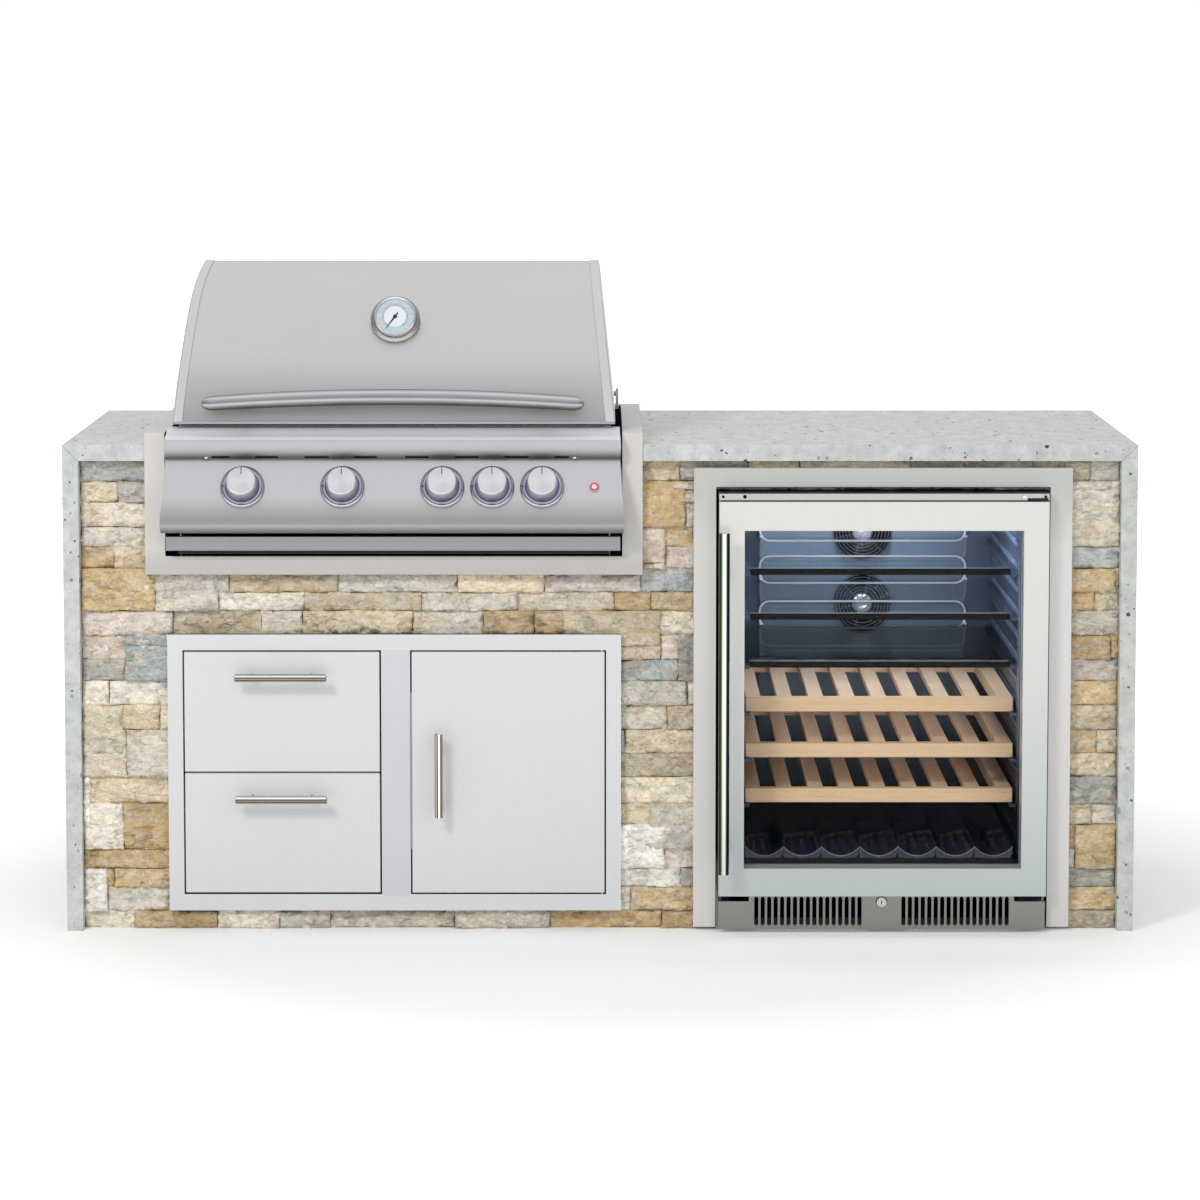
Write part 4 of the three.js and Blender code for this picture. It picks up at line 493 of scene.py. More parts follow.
board("cement_board_rear", (rear_low.x, rear_high.x), (rear_low.y, rear_low.y + board_depth),
      rear_high.z, rear_holes, cement)

# Sheet steel: the vent panel of the gas compartment and the jacket that lines the notch for the grill.
# The vent is pressed stainless sheet, screwed on; the jacket is folded sheet with a warm pale coat.
# Inside its sleeve the jacket is painted nearly black, a painted shade that shows as a dark line round the
# grill.
SHEET_EDGE = 0.0009


def grain_effect():
    """Fine parallel scratches: a value that changes across the brushing, and the normal it gives."""
    tree, given, result = new_effect(
        "brushed_grain",
        [("Vector", "Vector", None), ("Stretch", "Vector", (3.0, 700.0, 700.0)), ("Depth", "Float", 0.15)],
        [("Shade", "Float"), ("Cloud", "Float"), ("Normal", "Vector")])
    drawn = add_node(tree, "VectorMath", {0: given["Vector"], 1: given["Stretch"]}, operation="MULTIPLY")
    lines = noise_of(tree, drawn.outputs[0], 1.0, 4.0, Roughness=0.7)
    link_up(tree, result, Shade=lines, Cloud=noise_of(tree, given["Vector"], 4.0, 3.0),
            Normal=bumps_of(tree, lines, given["Depth"], 0.0004))
    return tree


brushed_grain = grain_effect()
ALONG_X = (3.0, 650.0, 650.0)
ALONG_Y = (650.0, 3.0, 650.0)
ALONG_Z = (650.0, 650.0, 3.0)
NO_WAY = (130.0, 130.0, 130.0)


def steel_finish(name, colour, roughness, stretch, depth=0.12, contrast=0.12, metallic=1.0, painted_fade=None):
    """Brushed or polished stainless steel; painted_fade is painted light and shade by height: another tone
    and the heights between which it comes in.
    """
    material, tree, surface, place = new_finish(name, Metallic=metallic)
    grain = use_effect(tree, brushed_grain, {"Vector": place, "Stretch": stretch, "Depth": depth})
    lines = math_node(tree, "MULTIPLY_ADD", grain["Shade"], contrast, 1 - contrast / 2)
    cloud = math_node(tree, "MULTIPLY_ADD", grain["Cloud"], 0.06, 0.97)
    base = tone(colour)
    if painted_fade:
        height = add_node(tree, "SeparateXYZ", {"Vector": place}).outputs["Z"]
        base = mix_colour(tree, share_of(tree, height, painted_fade[1], painted_fade[2]), base, tone(painted_fade[0]))
    base = shaded(tree, base, math_node(tree, "MULTIPLY", lines, cloud))
    rough = math_node(tree, "MULTIPLY_ADD", grain["Shade"], 0.12, roughness - 0.06)
    rough = math_node(tree, "MULTIPLY_ADD", grain["Cloud"], 0.06, rough)
    link_up(tree, surface.inputs, Base_Color=base, Roughness=rough, Normal=grain["Normal"])
    return material


def repaint(piece, material, chosen):
    """Gives another finish to the faces whose middle and normal are chosen."""
    piece.data.materials.append(material)
    index = len(piece.data.materials) - 1
    for face in piece.data.polygons:
        if chosen(face.center, face.normal):
            face.material_index = index


sheet_steel = steel_finish("sheet_steel", "c9c9c8", 0.36, ALONG_X)
# The coat is painted darker towards the jacket's lower edge, a painted shade.
jacket_coat_painted_shade = steel_finish(
    "jacket_coat_painted_shade", "d7d4d0", 0.5, ALONG_Z, 0.03, 0.04, 0.1,
    ("c4c1bd", jacket_low.z + 0.05, jacket_low.z + 0.02))
# dark_gap: near black paint, mostly painted shade inside gaps, sleeves and the backs of parts.
dark_gap = steel_finish("dark_gap", "1d1a26", 0.8, NO_WAY, 0.02, 0.1, 0.0)
softened("rear_vent", sheet_steel, "island", SHEET_EDGE)
jacket = softened("grill_jacket", jacket_coat_painted_shade, "island", SHEET_EDGE, 3)
grill_x = (jacket_low.x + jacket_high.x) / 2
SLEEVE_HALF = 0.4234
SLEEVE_TOP = 0.93
FACE_DEPTH = 0.004
# The sleeve's inner faces get dark_gap: painted shade in the gap round the grill.
repaint(jacket, dark_gap, lambda middle, normal: (
    abs(middle.x - grill_x) < SLEEVE_HALF + 0.001
    and middle.y > jacket_low.y + FACE_DEPTH and middle.z < SLEEVE_TOP))

# Firebox with burners and flame tamers: heavy stainless sheet that the heat has toned brown and blue.
# The burners are pressed tubes under folded roof plates; they show when the hood is up.
FIRE_EDGE = 0.0008
BURNER_EDGE = 0.004


def tone_ramp(tree, share, tones):
    """A colour that follows a share through tones, each with its place."""
    made = add_node(tree, "ValToRGB", {"Fac": share})
    marks = made.color_ramp.elements
    marks[0].position, marks[0].color = tones[0][0], tone(tones[0][1])
    marks[1].position, marks[1].color = tones[-1][0], tone(tones[-1][1])
    for position, code in tones[1:-1]:
        marks.new(position).color = tone(code)
    return made.outputs["Color"]


def heated_finish():
    material, tree, surface, place = new_finish("heated_steel", Metallic=0.85, Roughness=0.45)
    grain = use_effect(tree, brushed_grain, {"Vector": place, "Stretch": ALONG_Y, "Depth": 0.12})
    heat = tone_ramp(tree, grain["Cloud"], ((0.35, "6f6259"), (0.5, "8d7a66"), (0.65, "9a948f")))
    link_up(tree, surface.inputs, Base_Color=heat, Normal=grain["Normal"])
    return material


heated_steel = heated_finish()
softened("firebox", sheet_steel, "island", FIRE_EDGE)
softened("burners", heated_steel, "island", BURNER_EDGE, 3)
softened("flame_tamers", heated_steel, "island", FIRE_EDGE)
softened("gas_manifold", sheet_steel, "island", FIRE_EDGE)

# Cooking grates and warming rack: solid stainless rods welded across two bars, polished by use.
# Every rod is round with domed ends; the rack stands on two bent legs.
ROD_SIDES = 12
GRATE_RODS = 9
RACK_RODS = 13
BAR_INSET = 0.02
CROSS_BAR_SHARE = 0.92
RACK_WIRE = 0.003
RACK_DEPTH = 0.14
RACK_LEG = 0.1
RACK_ROD_SHARE = 0.8


def tube(shape, points, radii, sides=ROD_SIDES, closed=False):
    """Adds a round bar along a line of points; radii is one radius or one for each point."""
    points = [Vector(point) for point in points]
    radii = radii if isinstance(radii, (list, tuple)) else [radii] * len(points)
    count = len(points)
    rings = []
    across = None
    for index, point in enumerate(points):
        before = points[(index - 1) % count] if closed or index > 0 else point
        after = points[(index + 1) % count] if closed or index + 1 < count else point
        along = (after - before).normalized()
        if across is None:
            across = along.orthogonal().normalized()
        across = (across - along * across.dot(along)).normalized()
        third = along.cross(across)
        ring = []
        for side in range(sides):
            angle = 2 * math.pi * side / sides
            offset = across * math.cos(angle) + third * math.sin(angle)
            ring.append(shape.verts.new(point + offset * radii[index]))
        rings.append(ring)
    pairs = list(zip(rings, rings[1:])) + ([(rings[-1], rings[0])] if closed else [])
    for first, second in pairs:
        for side in range(sides):
            after = (side + 1) % sides
            shape.faces.new([first[side], first[after], second[after], second[side]])
    if not closed:
        shape.faces.new(rings[0][::-1])
        shape.faces.new(rings[-1])


def domed_rod(shape, start, end, radius, sides=ROD_SIDES, dome=0.6):
    """A straight rod whose ends are rounded off."""
    start, end = Vector(start), Vector(end)
    along = (end - start).normalized() * radius * dome
    points, radii = [], []
    for tip, inward, shares in ((start, 1, (0.0, 0.3, 0.65, 1.0)), (end, -1, (1.0, 0.65, 0.3, 0.0))):
        for share in shares:
            points.append(tip + along * inward * share)
            radii.append(radius * max(0.35, math.sqrt(1 - (1 - share) ** 2)))
    tube(shape, points, radii, sides)


rod_steel = steel_finish("rod_steel", "b9b7b4", 0.3, ALONG_Y, 0.1)
for grate_node in ("grate_left", "grate_middle", "grate_right"):
    low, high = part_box(grate_node)
    rod_radius = (high.z - low.z) / 2
    grate = bmesh.new()
    for index in range(GRATE_RODS):
        x = low.x + rod_radius + (high.x - low.x - 2 * rod_radius) * index / (GRATE_RODS - 1)
        domed_rod(grate, (x, low.y, low.z + rod_radius), (x, high.y, low.z + rod_radius), rod_radius)
    for y in (low.y + BAR_INSET, high.y - BAR_INSET):
        domed_rod(grate, (low.x, y, low.z + rod_radius), (high.x, y, low.z + rod_radius),
                  CROSS_BAR_SHARE * rod_radius)
    fit(grate_node + "_finished", grate, rod_steel, "island", [grate_node])

low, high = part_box("warming_rack")
rack_z = high.z - RACK_WIRE
rack_front, rack_rear = low.y + RACK_WIRE, low.y + RACK_DEPTH - RACK_WIRE
leg_y = low.y + RACK_LEG + RACK_WIRE
rack = bmesh.new()
for y in (rack_front, rack_rear):
    domed_rod(rack, (low.x, y, rack_z), (high.x, y, rack_z), RACK_WIRE)
for index in range(RACK_RODS):
    x = low.x + RACK_WIRE + (high.x - low.x - 2 * RACK_WIRE) * index / (RACK_RODS - 1)
    domed_rod(rack, (x, rack_front, rack_z), (x, rack_rear, rack_z), RACK_ROD_SHARE * RACK_WIRE)
for x in (low.x + RACK_WIRE, high.x - RACK_WIRE):
    tube(rack, [(x, leg_y, rack_z), (x, leg_y, low.z + 3 * RACK_WIRE),
                (x, leg_y + 2 * RACK_WIRE, low.z + RACK_WIRE), (x, high.y, low.z + RACK_WIRE)], RACK_WIRE)
fit("warming_rack_finished", rack, rod_steel, "island", ["warming_rack"])

# Hood: one stainless sheet rolled over a deep front curve, with a thick pressed cap at each end.
# The ends lean in towards the crest and the front edge is folded back on itself.
# It is brushed from end to end and painted darker towards its front edge, a painted shade; the caps stand a
# little proud and are paler.
SKIRT = (0.010, 0.059)
CREST = (0.330, 0.283)
BACK = (0.490, 0.170)
FRONT_PULLS = ((0.26, 0.81), (0.44, 0.885))
REAR_PULLS = ((0.56, 0.08), (1.0, 0.2))
END_LEAN = 0.030
CAP_WIDTH = 0.018
CAP_PROUD = 0.002
CURVE_STEPS = 34
HEM = 0.012
HEM_DROP = 0.0035
HEM_LAP = 0.002
HEM_INSET = 0.0006
CAP_SEAM = 0.0003
SHELL_COLUMNS = 12
SHELL_SHEET = 0.003
CAP_SHEET = 0.0022
CAP_EDGE = 0.0035
RIM_DEGREES = 35
hood_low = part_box("hood_shell")[0]
hood_half = grill_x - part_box("hood_end_left")[0].x
hood_front, hood_bottom = hood_low.y, hood_low.z


def bezier(start, first, second, end, share):
    rest = 1 - share
    return tuple(rest ** 3 * a + 3 * rest ** 2 * share * b + 3 * rest * share ** 2 * c + share ** 3 * d
                 for a, b, c, d in zip(start, first, second, end))


def between(start, end, shares):
    return tuple(a + (b - a) * share for a, b, share in zip(start, end, shares))


def pulled(start, end, pulls, share):
    return bezier(start, between(start, end, pulls[0]), between(start, end, pulls[1]), end, share)


def front_curve(share):
    return pulled(SKIRT, CREST, FRONT_PULLS, share)


def rear_curve(share):
    return pulled(CREST, BACK, REAR_PULLS, share)


def hood_line(proud):
    """The side view of the hood from its front edge over the crest to its rear edge, as depth and height."""
    line = [(0.0, 0.0)] + [front_curve(step / CURVE_STEPS) for step in range(CURVE_STEPS + 1)]
    line += [rear_curve(step / CURVE_STEPS) for step in range(1, CURVE_STEPS + 1)]
    line += [(BACK[0], 0.0)]
    moved = []
    for index, point in enumerate(line):
        before, after = line[max(index - 1, 0)], line[min(index + 1, len(line) - 1)]
        along = Vector((after[0] - before[0], after[1] - before[1])).normalized()
        moved.append((point[0] - along.y * proud, max(point[1] + along.x * proud, 0.0)))
    return moved


def leaned(x, height):
    """Where a point of the hood's end goes, since the ends lean in towards the crest."""
    return x - math.copysign(END_LEAN * height / CREST[1], x)


# The hood sheet is painted darker towards its front edge: painted shade.
hood_steel_painted_shade = steel_finish(
    "hood_steel_painted_shade", "cfced0", 0.4, ALONG_X, 0.1, 0.1, 1.0, ("a9a8ac", hood_bottom + 0.12, hood_bottom))
cap_steel = steel_finish("cap_steel", "d4d4d7", 0.42, ALONG_Z, 0.06, 0.06)
shell_line = [(HEM, 0.0)] + hood_line(0.0)
shell_half = hood_half - CAP_WIDTH - CAP_SEAM
shell = bmesh.new()
rows = []
for depth, height in shell_line:
    row = []
    for column in range(SHELL_COLUMNS + 1):
        x = shell_half * (2 * column / SHELL_COLUMNS - 1)
        lean = END_LEAN * height / CREST[1] * (2 * column / SHELL_COLUMNS - 1)
        row.append(shell.verts.new((grill_x + x - lean, hood_front + depth, hood_bottom + height)))
    rows.append(row)
sheet(shell, rows)
hood_shell = fit("hood_shell_finished", shell, hood_steel_painted_shade, "hood", ["hood_shell"])


def thicken(piece, thickness):
    wall = piece.modifiers.new("wall", "SOLIDIFY")
    wall.thickness = thickness
    wall.offset = -1.0
    wall.use_even_offset = True
    crisp = piece.modifiers.new("crisp_rim", "EDGE_SPLIT")
    crisp.split_angle = math.radians(RIM_DEGREES)


def block(shape, x_span, y_span, z_span):
    """Adds a cuboid between three spans."""
    for vertex in bmesh.ops.create_cube(shape, size=1.0)["verts"]:
        vertex.co = Vector([span[0] + (span[1] - span[0]) * (value + 0.5)
                            for span, value in zip((x_span, y_span, z_span), vertex.co)])


def plate(name, spans, material, body, nodes=(), bevel=0.0):
    """A piece that is one cuboid between three spans."""
    shape = bmesh.new()
    block(shape, *spans)
    fit(name, shape, material, body, nodes, bevel)


thicken(hood_shell, SHELL_SHEET)
hem_half = hood_half - HEM_INSET
plate("hood_front_hem", (
    (grill_x - hem_half, grill_x + hem_half), (hood_front, hood_front + HEM),
    (hood_bottom - HEM_DROP, hood_bottom + HEM_LAP)), hood_steel_painted_shade, "hood", bevel=0.0012)
for side, cap_node in ((-1, "hood_end_left"), (1, "hood_end_right")):
    cap = bmesh.new()
    outline = hood_line(CAP_PROUD)
    outer, inner = [], []
    for depth, height in outline:
        y, z = hood_front + depth, hood_bottom + height
        outer.append(cap.verts.new((grill_x + leaned(side * hood_half, height), y, z)))
        inner.append(cap.verts.new((grill_x + leaned(side * (hood_half - CAP_WIDTH), height), y, z)))
    cap.faces.new(outer if side > 0 else outer[::-1])
    for index in range(len(outer)):
        after = (index + 1) % len(outer)
        quad = [outer[index], inner[index], inner[after], outer[after]]
        cap.faces.new(quad if side > 0 else quad[::-1])
    bmesh.ops.recalc_face_normals(cap, faces=cap.faces)
    cap_piece = fit(cap_node + "_finished", cap, cap_steel, "hood", [cap_node],
                    CAP_EDGE, segments=3)
    cap_piece.modifiers.move(0, 0)
    thicken(cap_piece, CAP_SHEET)

# Hood handle: a heavy polished tube, bowed upwards and tapered to round noses, on two hidden posts.
# Its bright and dark lines are painted reflections of the studio: its tone is painted by where its surface
# faces.
HANDLE_STEPS = 64
HANDLE_BOW = 0.013
HANDLE_TAPER = 0.12
HANDLE_NOSE = 0.94
HANDLE_POST_SPACING = 0.560
HANDLE_POST_RADIUS = 0.009
HANDLE_RADIUS = 0.015
HANDLE_DROP = 0.002
HANDLE_SEAT = 0.004
NOSE_RADIUS = 0.0012
low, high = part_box("hood_handle")
bar_y = low.y + HANDLE_RADIUS
bar_z = low.z + HANDLE_RADIUS
bar_half = (high.x - low.x) / 2


def painted_reflection_finish(name, facing, reflection_bands, roughness=0.24):
    """Polished bar with painted reflections: bright and dark lines along it, each painted where its surface
    faces a certain way.
    """
    material, tree, surface, place = new_finish(name, Metallic=1.0, Roughness=roughness)
    turned_to = add_node(tree, "SeparateXYZ", {"Vector": add_node(tree, "TexCoord").outputs["Normal"]})
    share = math_node(tree, "MULTIPLY_ADD", turned_to.outputs[facing], 0.5, 0.5)
    shade = math_node(tree, "MULTIPLY_ADD", noise_of(tree, place, 25.0, 3.0), 0.08, 0.96)
    link_up(tree, surface.inputs, Base_Color=shaded(tree, tone_ramp(tree, share, reflection_bands), shade))
    return material


handle_steel = painted_reflection_finish("handle_steel", "Z", (
    (0.0, "5c5653"), (0.08, "625c59"), (0.16, "827d7a"), (0.28, "989594"), (0.40, "a7a6a8"),
    (0.54, "8f8f94"), (0.70, "a5a5ab"), (0.84, "d0d0d7"), (0.93, "b0b0b7"), (1.0, "808087")), 0.3)
handle = bmesh.new()
points, radii = [], []
for step in range(HANDLE_STEPS + 1):
    share = -math.cos(math.pi * step / HANDLE_STEPS)
    bow = HANDLE_BOW * (1 - share ** 2)
    points.append((grill_x + share * bar_half, bar_y, bar_z + bow - HANDLE_DROP))
    nose = math.sqrt(max(0.0, 1 - max(0.0, (abs(share) - HANDLE_NOSE) / (1 - HANDLE_NOSE)) ** 2))
    radii.append(max(NOSE_RADIUS, HANDLE_RADIUS * (1 - HANDLE_TAPER * abs(share) ** 3) * nose))
tube(handle, points, radii, 32)
post_bow = HANDLE_BOW * (1 - (HANDLE_POST_SPACING / 2 / bar_half) ** 2)
for side in (-1, 1):
    x = grill_x + side * HANDLE_POST_SPACING / 2
    tube(handle, [(x, bar_y, bar_z + post_bow), (x, hood_front + HANDLE_SEAT, bar_z + post_bow)],
         HANDLE_POST_RADIUS, 20)
fit("hood_handle_finished", handle, handle_steel, "hood", ["hood_handle"],
    smooth_degrees=50)

# Thermometer: a turned housing with a fluted skirt and polished rim, tipped up towards the cook.
# Under the rim lies a pale dial with printed ticks and numbers, a white centre and a black needle.
GAUGE_TILT = math.radians(25)
GAUGE_FLUTES = 64
DIAL_NUMBERS = ("100", "200", "300", "400", "500", "600", "700")
DIAL_START, DIAL_SWEEP = math.radians(225), math.radians(-270)
TICKS = 48
LONG_TICK_EVERY = 8
# Where a tick starts and half its width.
LONG_TICK, SHORT_TICK = (0.0205, 0.00042), (0.0222, 0.00022)
TICK_END = 0.0245
DIAL_FLOOR, CENTRE_FLOOR, PRINT_LEVEL = 0.0251, 0.0254, 0.02562
DIAL_RADIUS, CENTRE_RADIUS, NUMBER_RADIUS = 0.0348, 0.0205, 0.0293
NUMBER_SIZE = 0.0062
FLUTE_DEPTH = 0.0012
SKIRT_TOP = 0.0220
PRINT_SHEET = 0.00006
GAUGE_SHARE = 0.3
gauge_base = front_curve(GAUGE_SHARE)


def tipped(place, angle=math.pi / 2):
    """A place whose Z axis comes forward, for a turned piece that faces the front."""
    return Matrix.Translation(place) @ Matrix.Rotation(angle, 4, "X")


gauge_place = tipped((grill_x, hood_front + gauge_base[0], hood_bottom + gauge_base[1]),
                     math.pi / 2 - GAUGE_TILT)


def turned(profile, sides, place, flutes=0, flute_depth=0.0, fluted=()):
    """A turned piece about its own Z axis, put in place; flutes are cut into the chosen rings."""
    shape = bmesh.new()
    rings = []
    for number, (radius, height) in enumerate(profile):
        if radius == 0:
            rings.append([shape.verts.new(place @ Vector((0, 0, height)))])
            continue
        ring = []
        for side in range(sides):
            angle = 2 * math.pi * side / sides
            cut = flute_depth * (0.5 - 0.5 * math.cos(flutes * angle)) if number in fluted else 0.0
            spot = Vector(((radius - cut) * math.sin(angle), -(radius - cut) * math.cos(angle), height))
            ring.append(shape.verts.new(place @ spot))
        rings.append(ring)
    for first, second in zip(rings, rings[1:]):
        for side in range(sides):
            after = (side + 1) % sides
            corners = [first[side % len(first)], first[after % len(first)],
                       second[after % len(second)], second[side % len(second)]]
            unique = list(dict.fromkeys(corners))
            if len(unique) > 2:
                shape.faces.new(unique)
    bmesh.ops.recalc_face_normals(shape, faces=shape.faces)
    return shape


gauge_steel = steel_finish("gauge_steel", "dcdcde", 0.2, NO_WAY, 0.02, 0.04)
gauge_skirt = steel_finish("gauge_skirt", "a8a39f", 0.24, NO_WAY, 0.02, 0.04)
housing = turned(
    [(0.030, -0.020), (0.046, -0.014), (0.046, 0.004), (0.0455, 0.006), (0.0455, 0.011),
     (0.046, 0.0125), (0.0445, 0.0142), (0.0405, 0.0155), (0.0398, 0.0175), (0.0398, 0.0235),
     (0.0388, 0.0270), (0.0370, 0.0290), (0.0355, 0.0282), (0.0350, 0.0250), (0, 0.0250)],
    4 * GAUGE_FLUTES, gauge_place, GAUGE_FLUTES, FLUTE_DEPTH, (3, 4, 8, 9))
gauge_piece = fit("thermometer_finished", housing, gauge_steel, "hood", ["thermometer"],
                  smooth_degrees=40)


def plain_finish(name, colour, roughness=0.5, spread=0.08, glow=0.0, shine=0.5):
    """Paint, print or plastic: a plain tone with a faint cloud in it; glow makes it a lit part."""
    material, tree, surface, place = new_finish(name, Roughness=roughness, Specular_IOR_Level=shine)
    shade = math_node(tree, "MULTIPLY_ADD", noise_of(tree, place, 60.0, 3.0), spread, 1 - spread / 2)
    painted = shaded(tree, tone(colour), shade)
    link_up(tree, surface.inputs, Base_Color=painted)
    if glow:
        link_up(tree, surface.inputs, Emission_Color=painted)
        surface.inputs["Emission Strength"].default_value = glow
    return material


def ring_disc(inner, outer, height, place, sides=64, thickness=0.0003):
    """A thin flat ring, or a disc if its inner radius is zero."""
    return turned([(inner, height), (outer, height), (outer, height + thickness), (inner, height + thickness)]
                  + ([(inner, height)] if inner else []), sides, place)


def lettering(name, words, size, place, material, body):
    """Small printed words as a thin mesh, centred on a place and facing along its Z axis."""
    text = bpy.data.curves.new(name, "FONT")
    text.body = words
    text.size = size
    text.extrude = PRINT_SHEET
    text.align_x = "CENTER"
    text.align_y = "CENTER"
    holder = bpy.data.objects.new(name + "_text", text)
    scene.collection.objects.link(holder)
    bpy.context.view_layer.update()
    flat = bpy.data.meshes.new_from_object(holder.evaluated_get(bpy.context.evaluated_depsgraph_get()))
    bpy.data.objects.remove(holder)
    shape = bmesh.new()
    shape.from_mesh(flat)
    bpy.data.meshes.remove(flat)
    bmesh.ops.transform(shape, matrix=place, verts=shape.verts)
    fit(name, shape, material, body)


repaint(gauge_piece, gauge_skirt, lambda middle, normal: (gauge_place.inverted() @ middle).z < SKIRT_TOP)
dial_blue = plain_finish("dial_blue", "bcc8d2", 0.35)
dial_white = plain_finish("dial_white", "e2e8ec", 0.35)
print_black = plain_finish("print_black", "23262a", 0.5)
for name, radius, floor_level, material in (
        ("dial_band", DIAL_RADIUS, DIAL_FLOOR, dial_blue),
        ("dial_centre", CENTRE_RADIUS, CENTRE_FLOOR, dial_white)):
    fit(name, ring_disc(0.0, radius, floor_level, gauge_place), material, "hood")
ticks = bmesh.new()
for index in range(TICKS + 1):
    angle = DIAL_START + DIAL_SWEEP * index / TICKS
    inner, half_width = SHORT_TICK if index % LONG_TICK_EVERY else LONG_TICK
    across = Vector((-math.sin(angle), math.cos(angle), 0)) * half_width
    ray = Vector((math.cos(angle), math.sin(angle), 0))
    lift = Vector((0, 0, PRINT_LEVEL))
    corners = [ray * inner - across, ray * TICK_END - across, ray * TICK_END + across, ray * inner + across]
    ticks.faces.new([ticks.verts.new(gauge_place @ (corner + lift)) for corner in corners])
fit("dial_ticks", ticks, print_black, "hood")
for index, number in enumerate(DIAL_NUMBERS):
    angle = DIAL_START + DIAL_SWEEP * index / (len(DIAL_NUMBERS) - 1)
    spot = gauge_place @ Matrix.Translation(
        (NUMBER_RADIUS * math.cos(angle), NUMBER_RADIUS * math.sin(angle), PRINT_LEVEL))
    lettering("dial_number_" + number, number, NUMBER_SIZE, spot, dial_white, "hood")

needle_black = plain_finish("needle_black", "1c1e22", 0.4)
NEEDLE_REST = math.radians(145)
needle_place = gauge_place @ Matrix.Rotation(NEEDLE_REST, 4, "Z")
NEEDLE_LOW, NEEDLE_HIGH = 0.0259, 0.0266
NEEDLE_SIDE = [(0.0012, -0.009), (0.0016, 0.004), (0.0011, 0.012), (0.0004, 0.0295)]


def prism(shape, place, outline, low, high, has_floor=True):
    """A flat outline given thickness between two heights."""
    lower, upper = [
        [shape.verts.new(place @ Vector((x, y, height))) for x, y in outline] for height in (low, high)]
    shape.faces.new(upper)
    if has_floor:
        shape.faces.new(lower[::-1])
    for index in range(len(outline)):
        after = (index + 1) % len(outline)
        shape.faces.new([lower[index], lower[after], upper[after], upper[index]])


pointer = bmesh.new()
prism(pointer, needle_place, NEEDLE_SIDE + [(-x, y) for x, y in NEEDLE_SIDE[::-1]],
      NEEDLE_LOW, NEEDLE_HIGH)
fit("needle_blade", pointer, needle_black, "needle", ["thermometer_needle"],
    smooth_degrees=30)
hub = turned([(0, NEEDLE_LOW), (0.0036, NEEDLE_LOW), (0.0036, 0.0268), (0.0022, 0.0275), (0, 0.0277)],
             32, gauge_place)
fit("needle_hub", hub, needle_black, "needle")

# Control panel: one stainless sheet folded into a ledge, a bullnose, a sloped face and a rolled lower edge.
# Air slots lie under the bullnose, one on each side of a knob; two small screws hold its ends.
PANEL_SHEET = 0.002
NOSE_DEPTH, NOSE_HALF = 0.014, 0.022
LEDGE_RUN, LEDGE_TOP, LEDGE_FALL = 0.0315, 0.9437, 0.0097
LEDGE_BACK = 0.0345
PANEL_GAP = 0.0003
LOWER_RETURN = 0.068
CREASE_DEPTH, CREASE_LEVEL = 0.057, 0.890
BULGE_DEPTH, BULGE_LEVEL = 0.005, 0.787
# The roll under the bulge: where its curve is pulled to, and where it ends.
ROLL_LEAN, ROLL_PULL, ROLL_SWELL, ROLL_LEVEL = 0.0004, 0.004, 0.0015, 0.7665
ROLL_RUN, ROLL_RISE = 0.013, 0.0004
NOSE_STEPS = 22
ROLL_STEPS = 14
SLOT_LOW, SLOT_HIGH = 0.0022, 0.0066
SLOTS = ((-0.333, -0.300), (-0.253, -0.211), (-0.162, -0.118), (-0.071, -0.029),
         (0.022, 0.066), (0.114, 0.158), (0.206, 0.250), (0.298, 0.324))
FLARE = 0.008
SCREW_XS = (-0.344, 0.335)
SCREW_DEPTH, SCREW_RISE, SCREW_TILT = 0.0066, 0.0045, math.radians(75)
panel_low, panel_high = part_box("control_panel")
panel_half = (panel_high.x - panel_low.x) / 2 - FLARE
crease_y, crease_z = panel_low.y + CREASE_DEPTH, CREASE_LEVEL
bulge_y, bulge_z = panel_low.y + BULGE_DEPTH, BULGE_LEVEL
nose_z = crease_z + NOSE_HALF
# The sloped face is painted darker towards its rolled lower edge, a painted shade.
panel_steel_painted_shade = steel_finish("panel_steel_painted_shade", "cccbcf", 0.36, ALONG_X, 0.1, 0.1, 1.0, ("7b7978", 0.822, 0.752))


def panel_line():
    """The side view of the panel from the ledge down to its lower return."""
    line = [(panel_high.y - PANEL_GAP, panel_high.z), (crease_y + LEDGE_BACK, panel_high.z),
            (crease_y + LEDGE_RUN, LEDGE_TOP)]
    line += [(crease_y + LEDGE_RUN * (1 - share), LEDGE_TOP - LEDGE_FALL * share ** 1.6)
             for share in (0.3, 0.6, 0.85)]
    heights = [NOSE_HALF * math.cos(math.pi * step / NOSE_STEPS) for step in range(NOSE_STEPS + 1)]
    heights += [SLOT_LOW - NOSE_HALF, SLOT_HIGH - NOSE_HALF]
    for height in sorted(heights, reverse=True):
        depth = NOSE_DEPTH * math.sqrt(max(0.0, 1 - (height / NOSE_HALF) ** 2))
        line.append((crease_y - depth, nose_z + height))
    face = [(crease_y + (bulge_y - crease_y) * share, crease_z + (bulge_z - crease_z) * share)
            for share in (0.03, 0.5, 0.86)]
    pulls = ((bulge_y - ROLL_LEAN, bulge_z - ROLL_PULL), (panel_low.y - ROLL_SWELL, ROLL_LEVEL))
    end = (panel_low.y + ROLL_RUN, panel_low.z + ROLL_RISE)
    roll = [bezier(face[-1], *pulls, end, step / ROLL_STEPS) for step in range(1, ROLL_STEPS + 1)]
    return line + face + roll + [(panel_low.y + LOWER_RETURN, panel_low.z)]


def flare(y):
    return FLARE * max(0.0, crease_y - y) / (crease_y - panel_low.y)


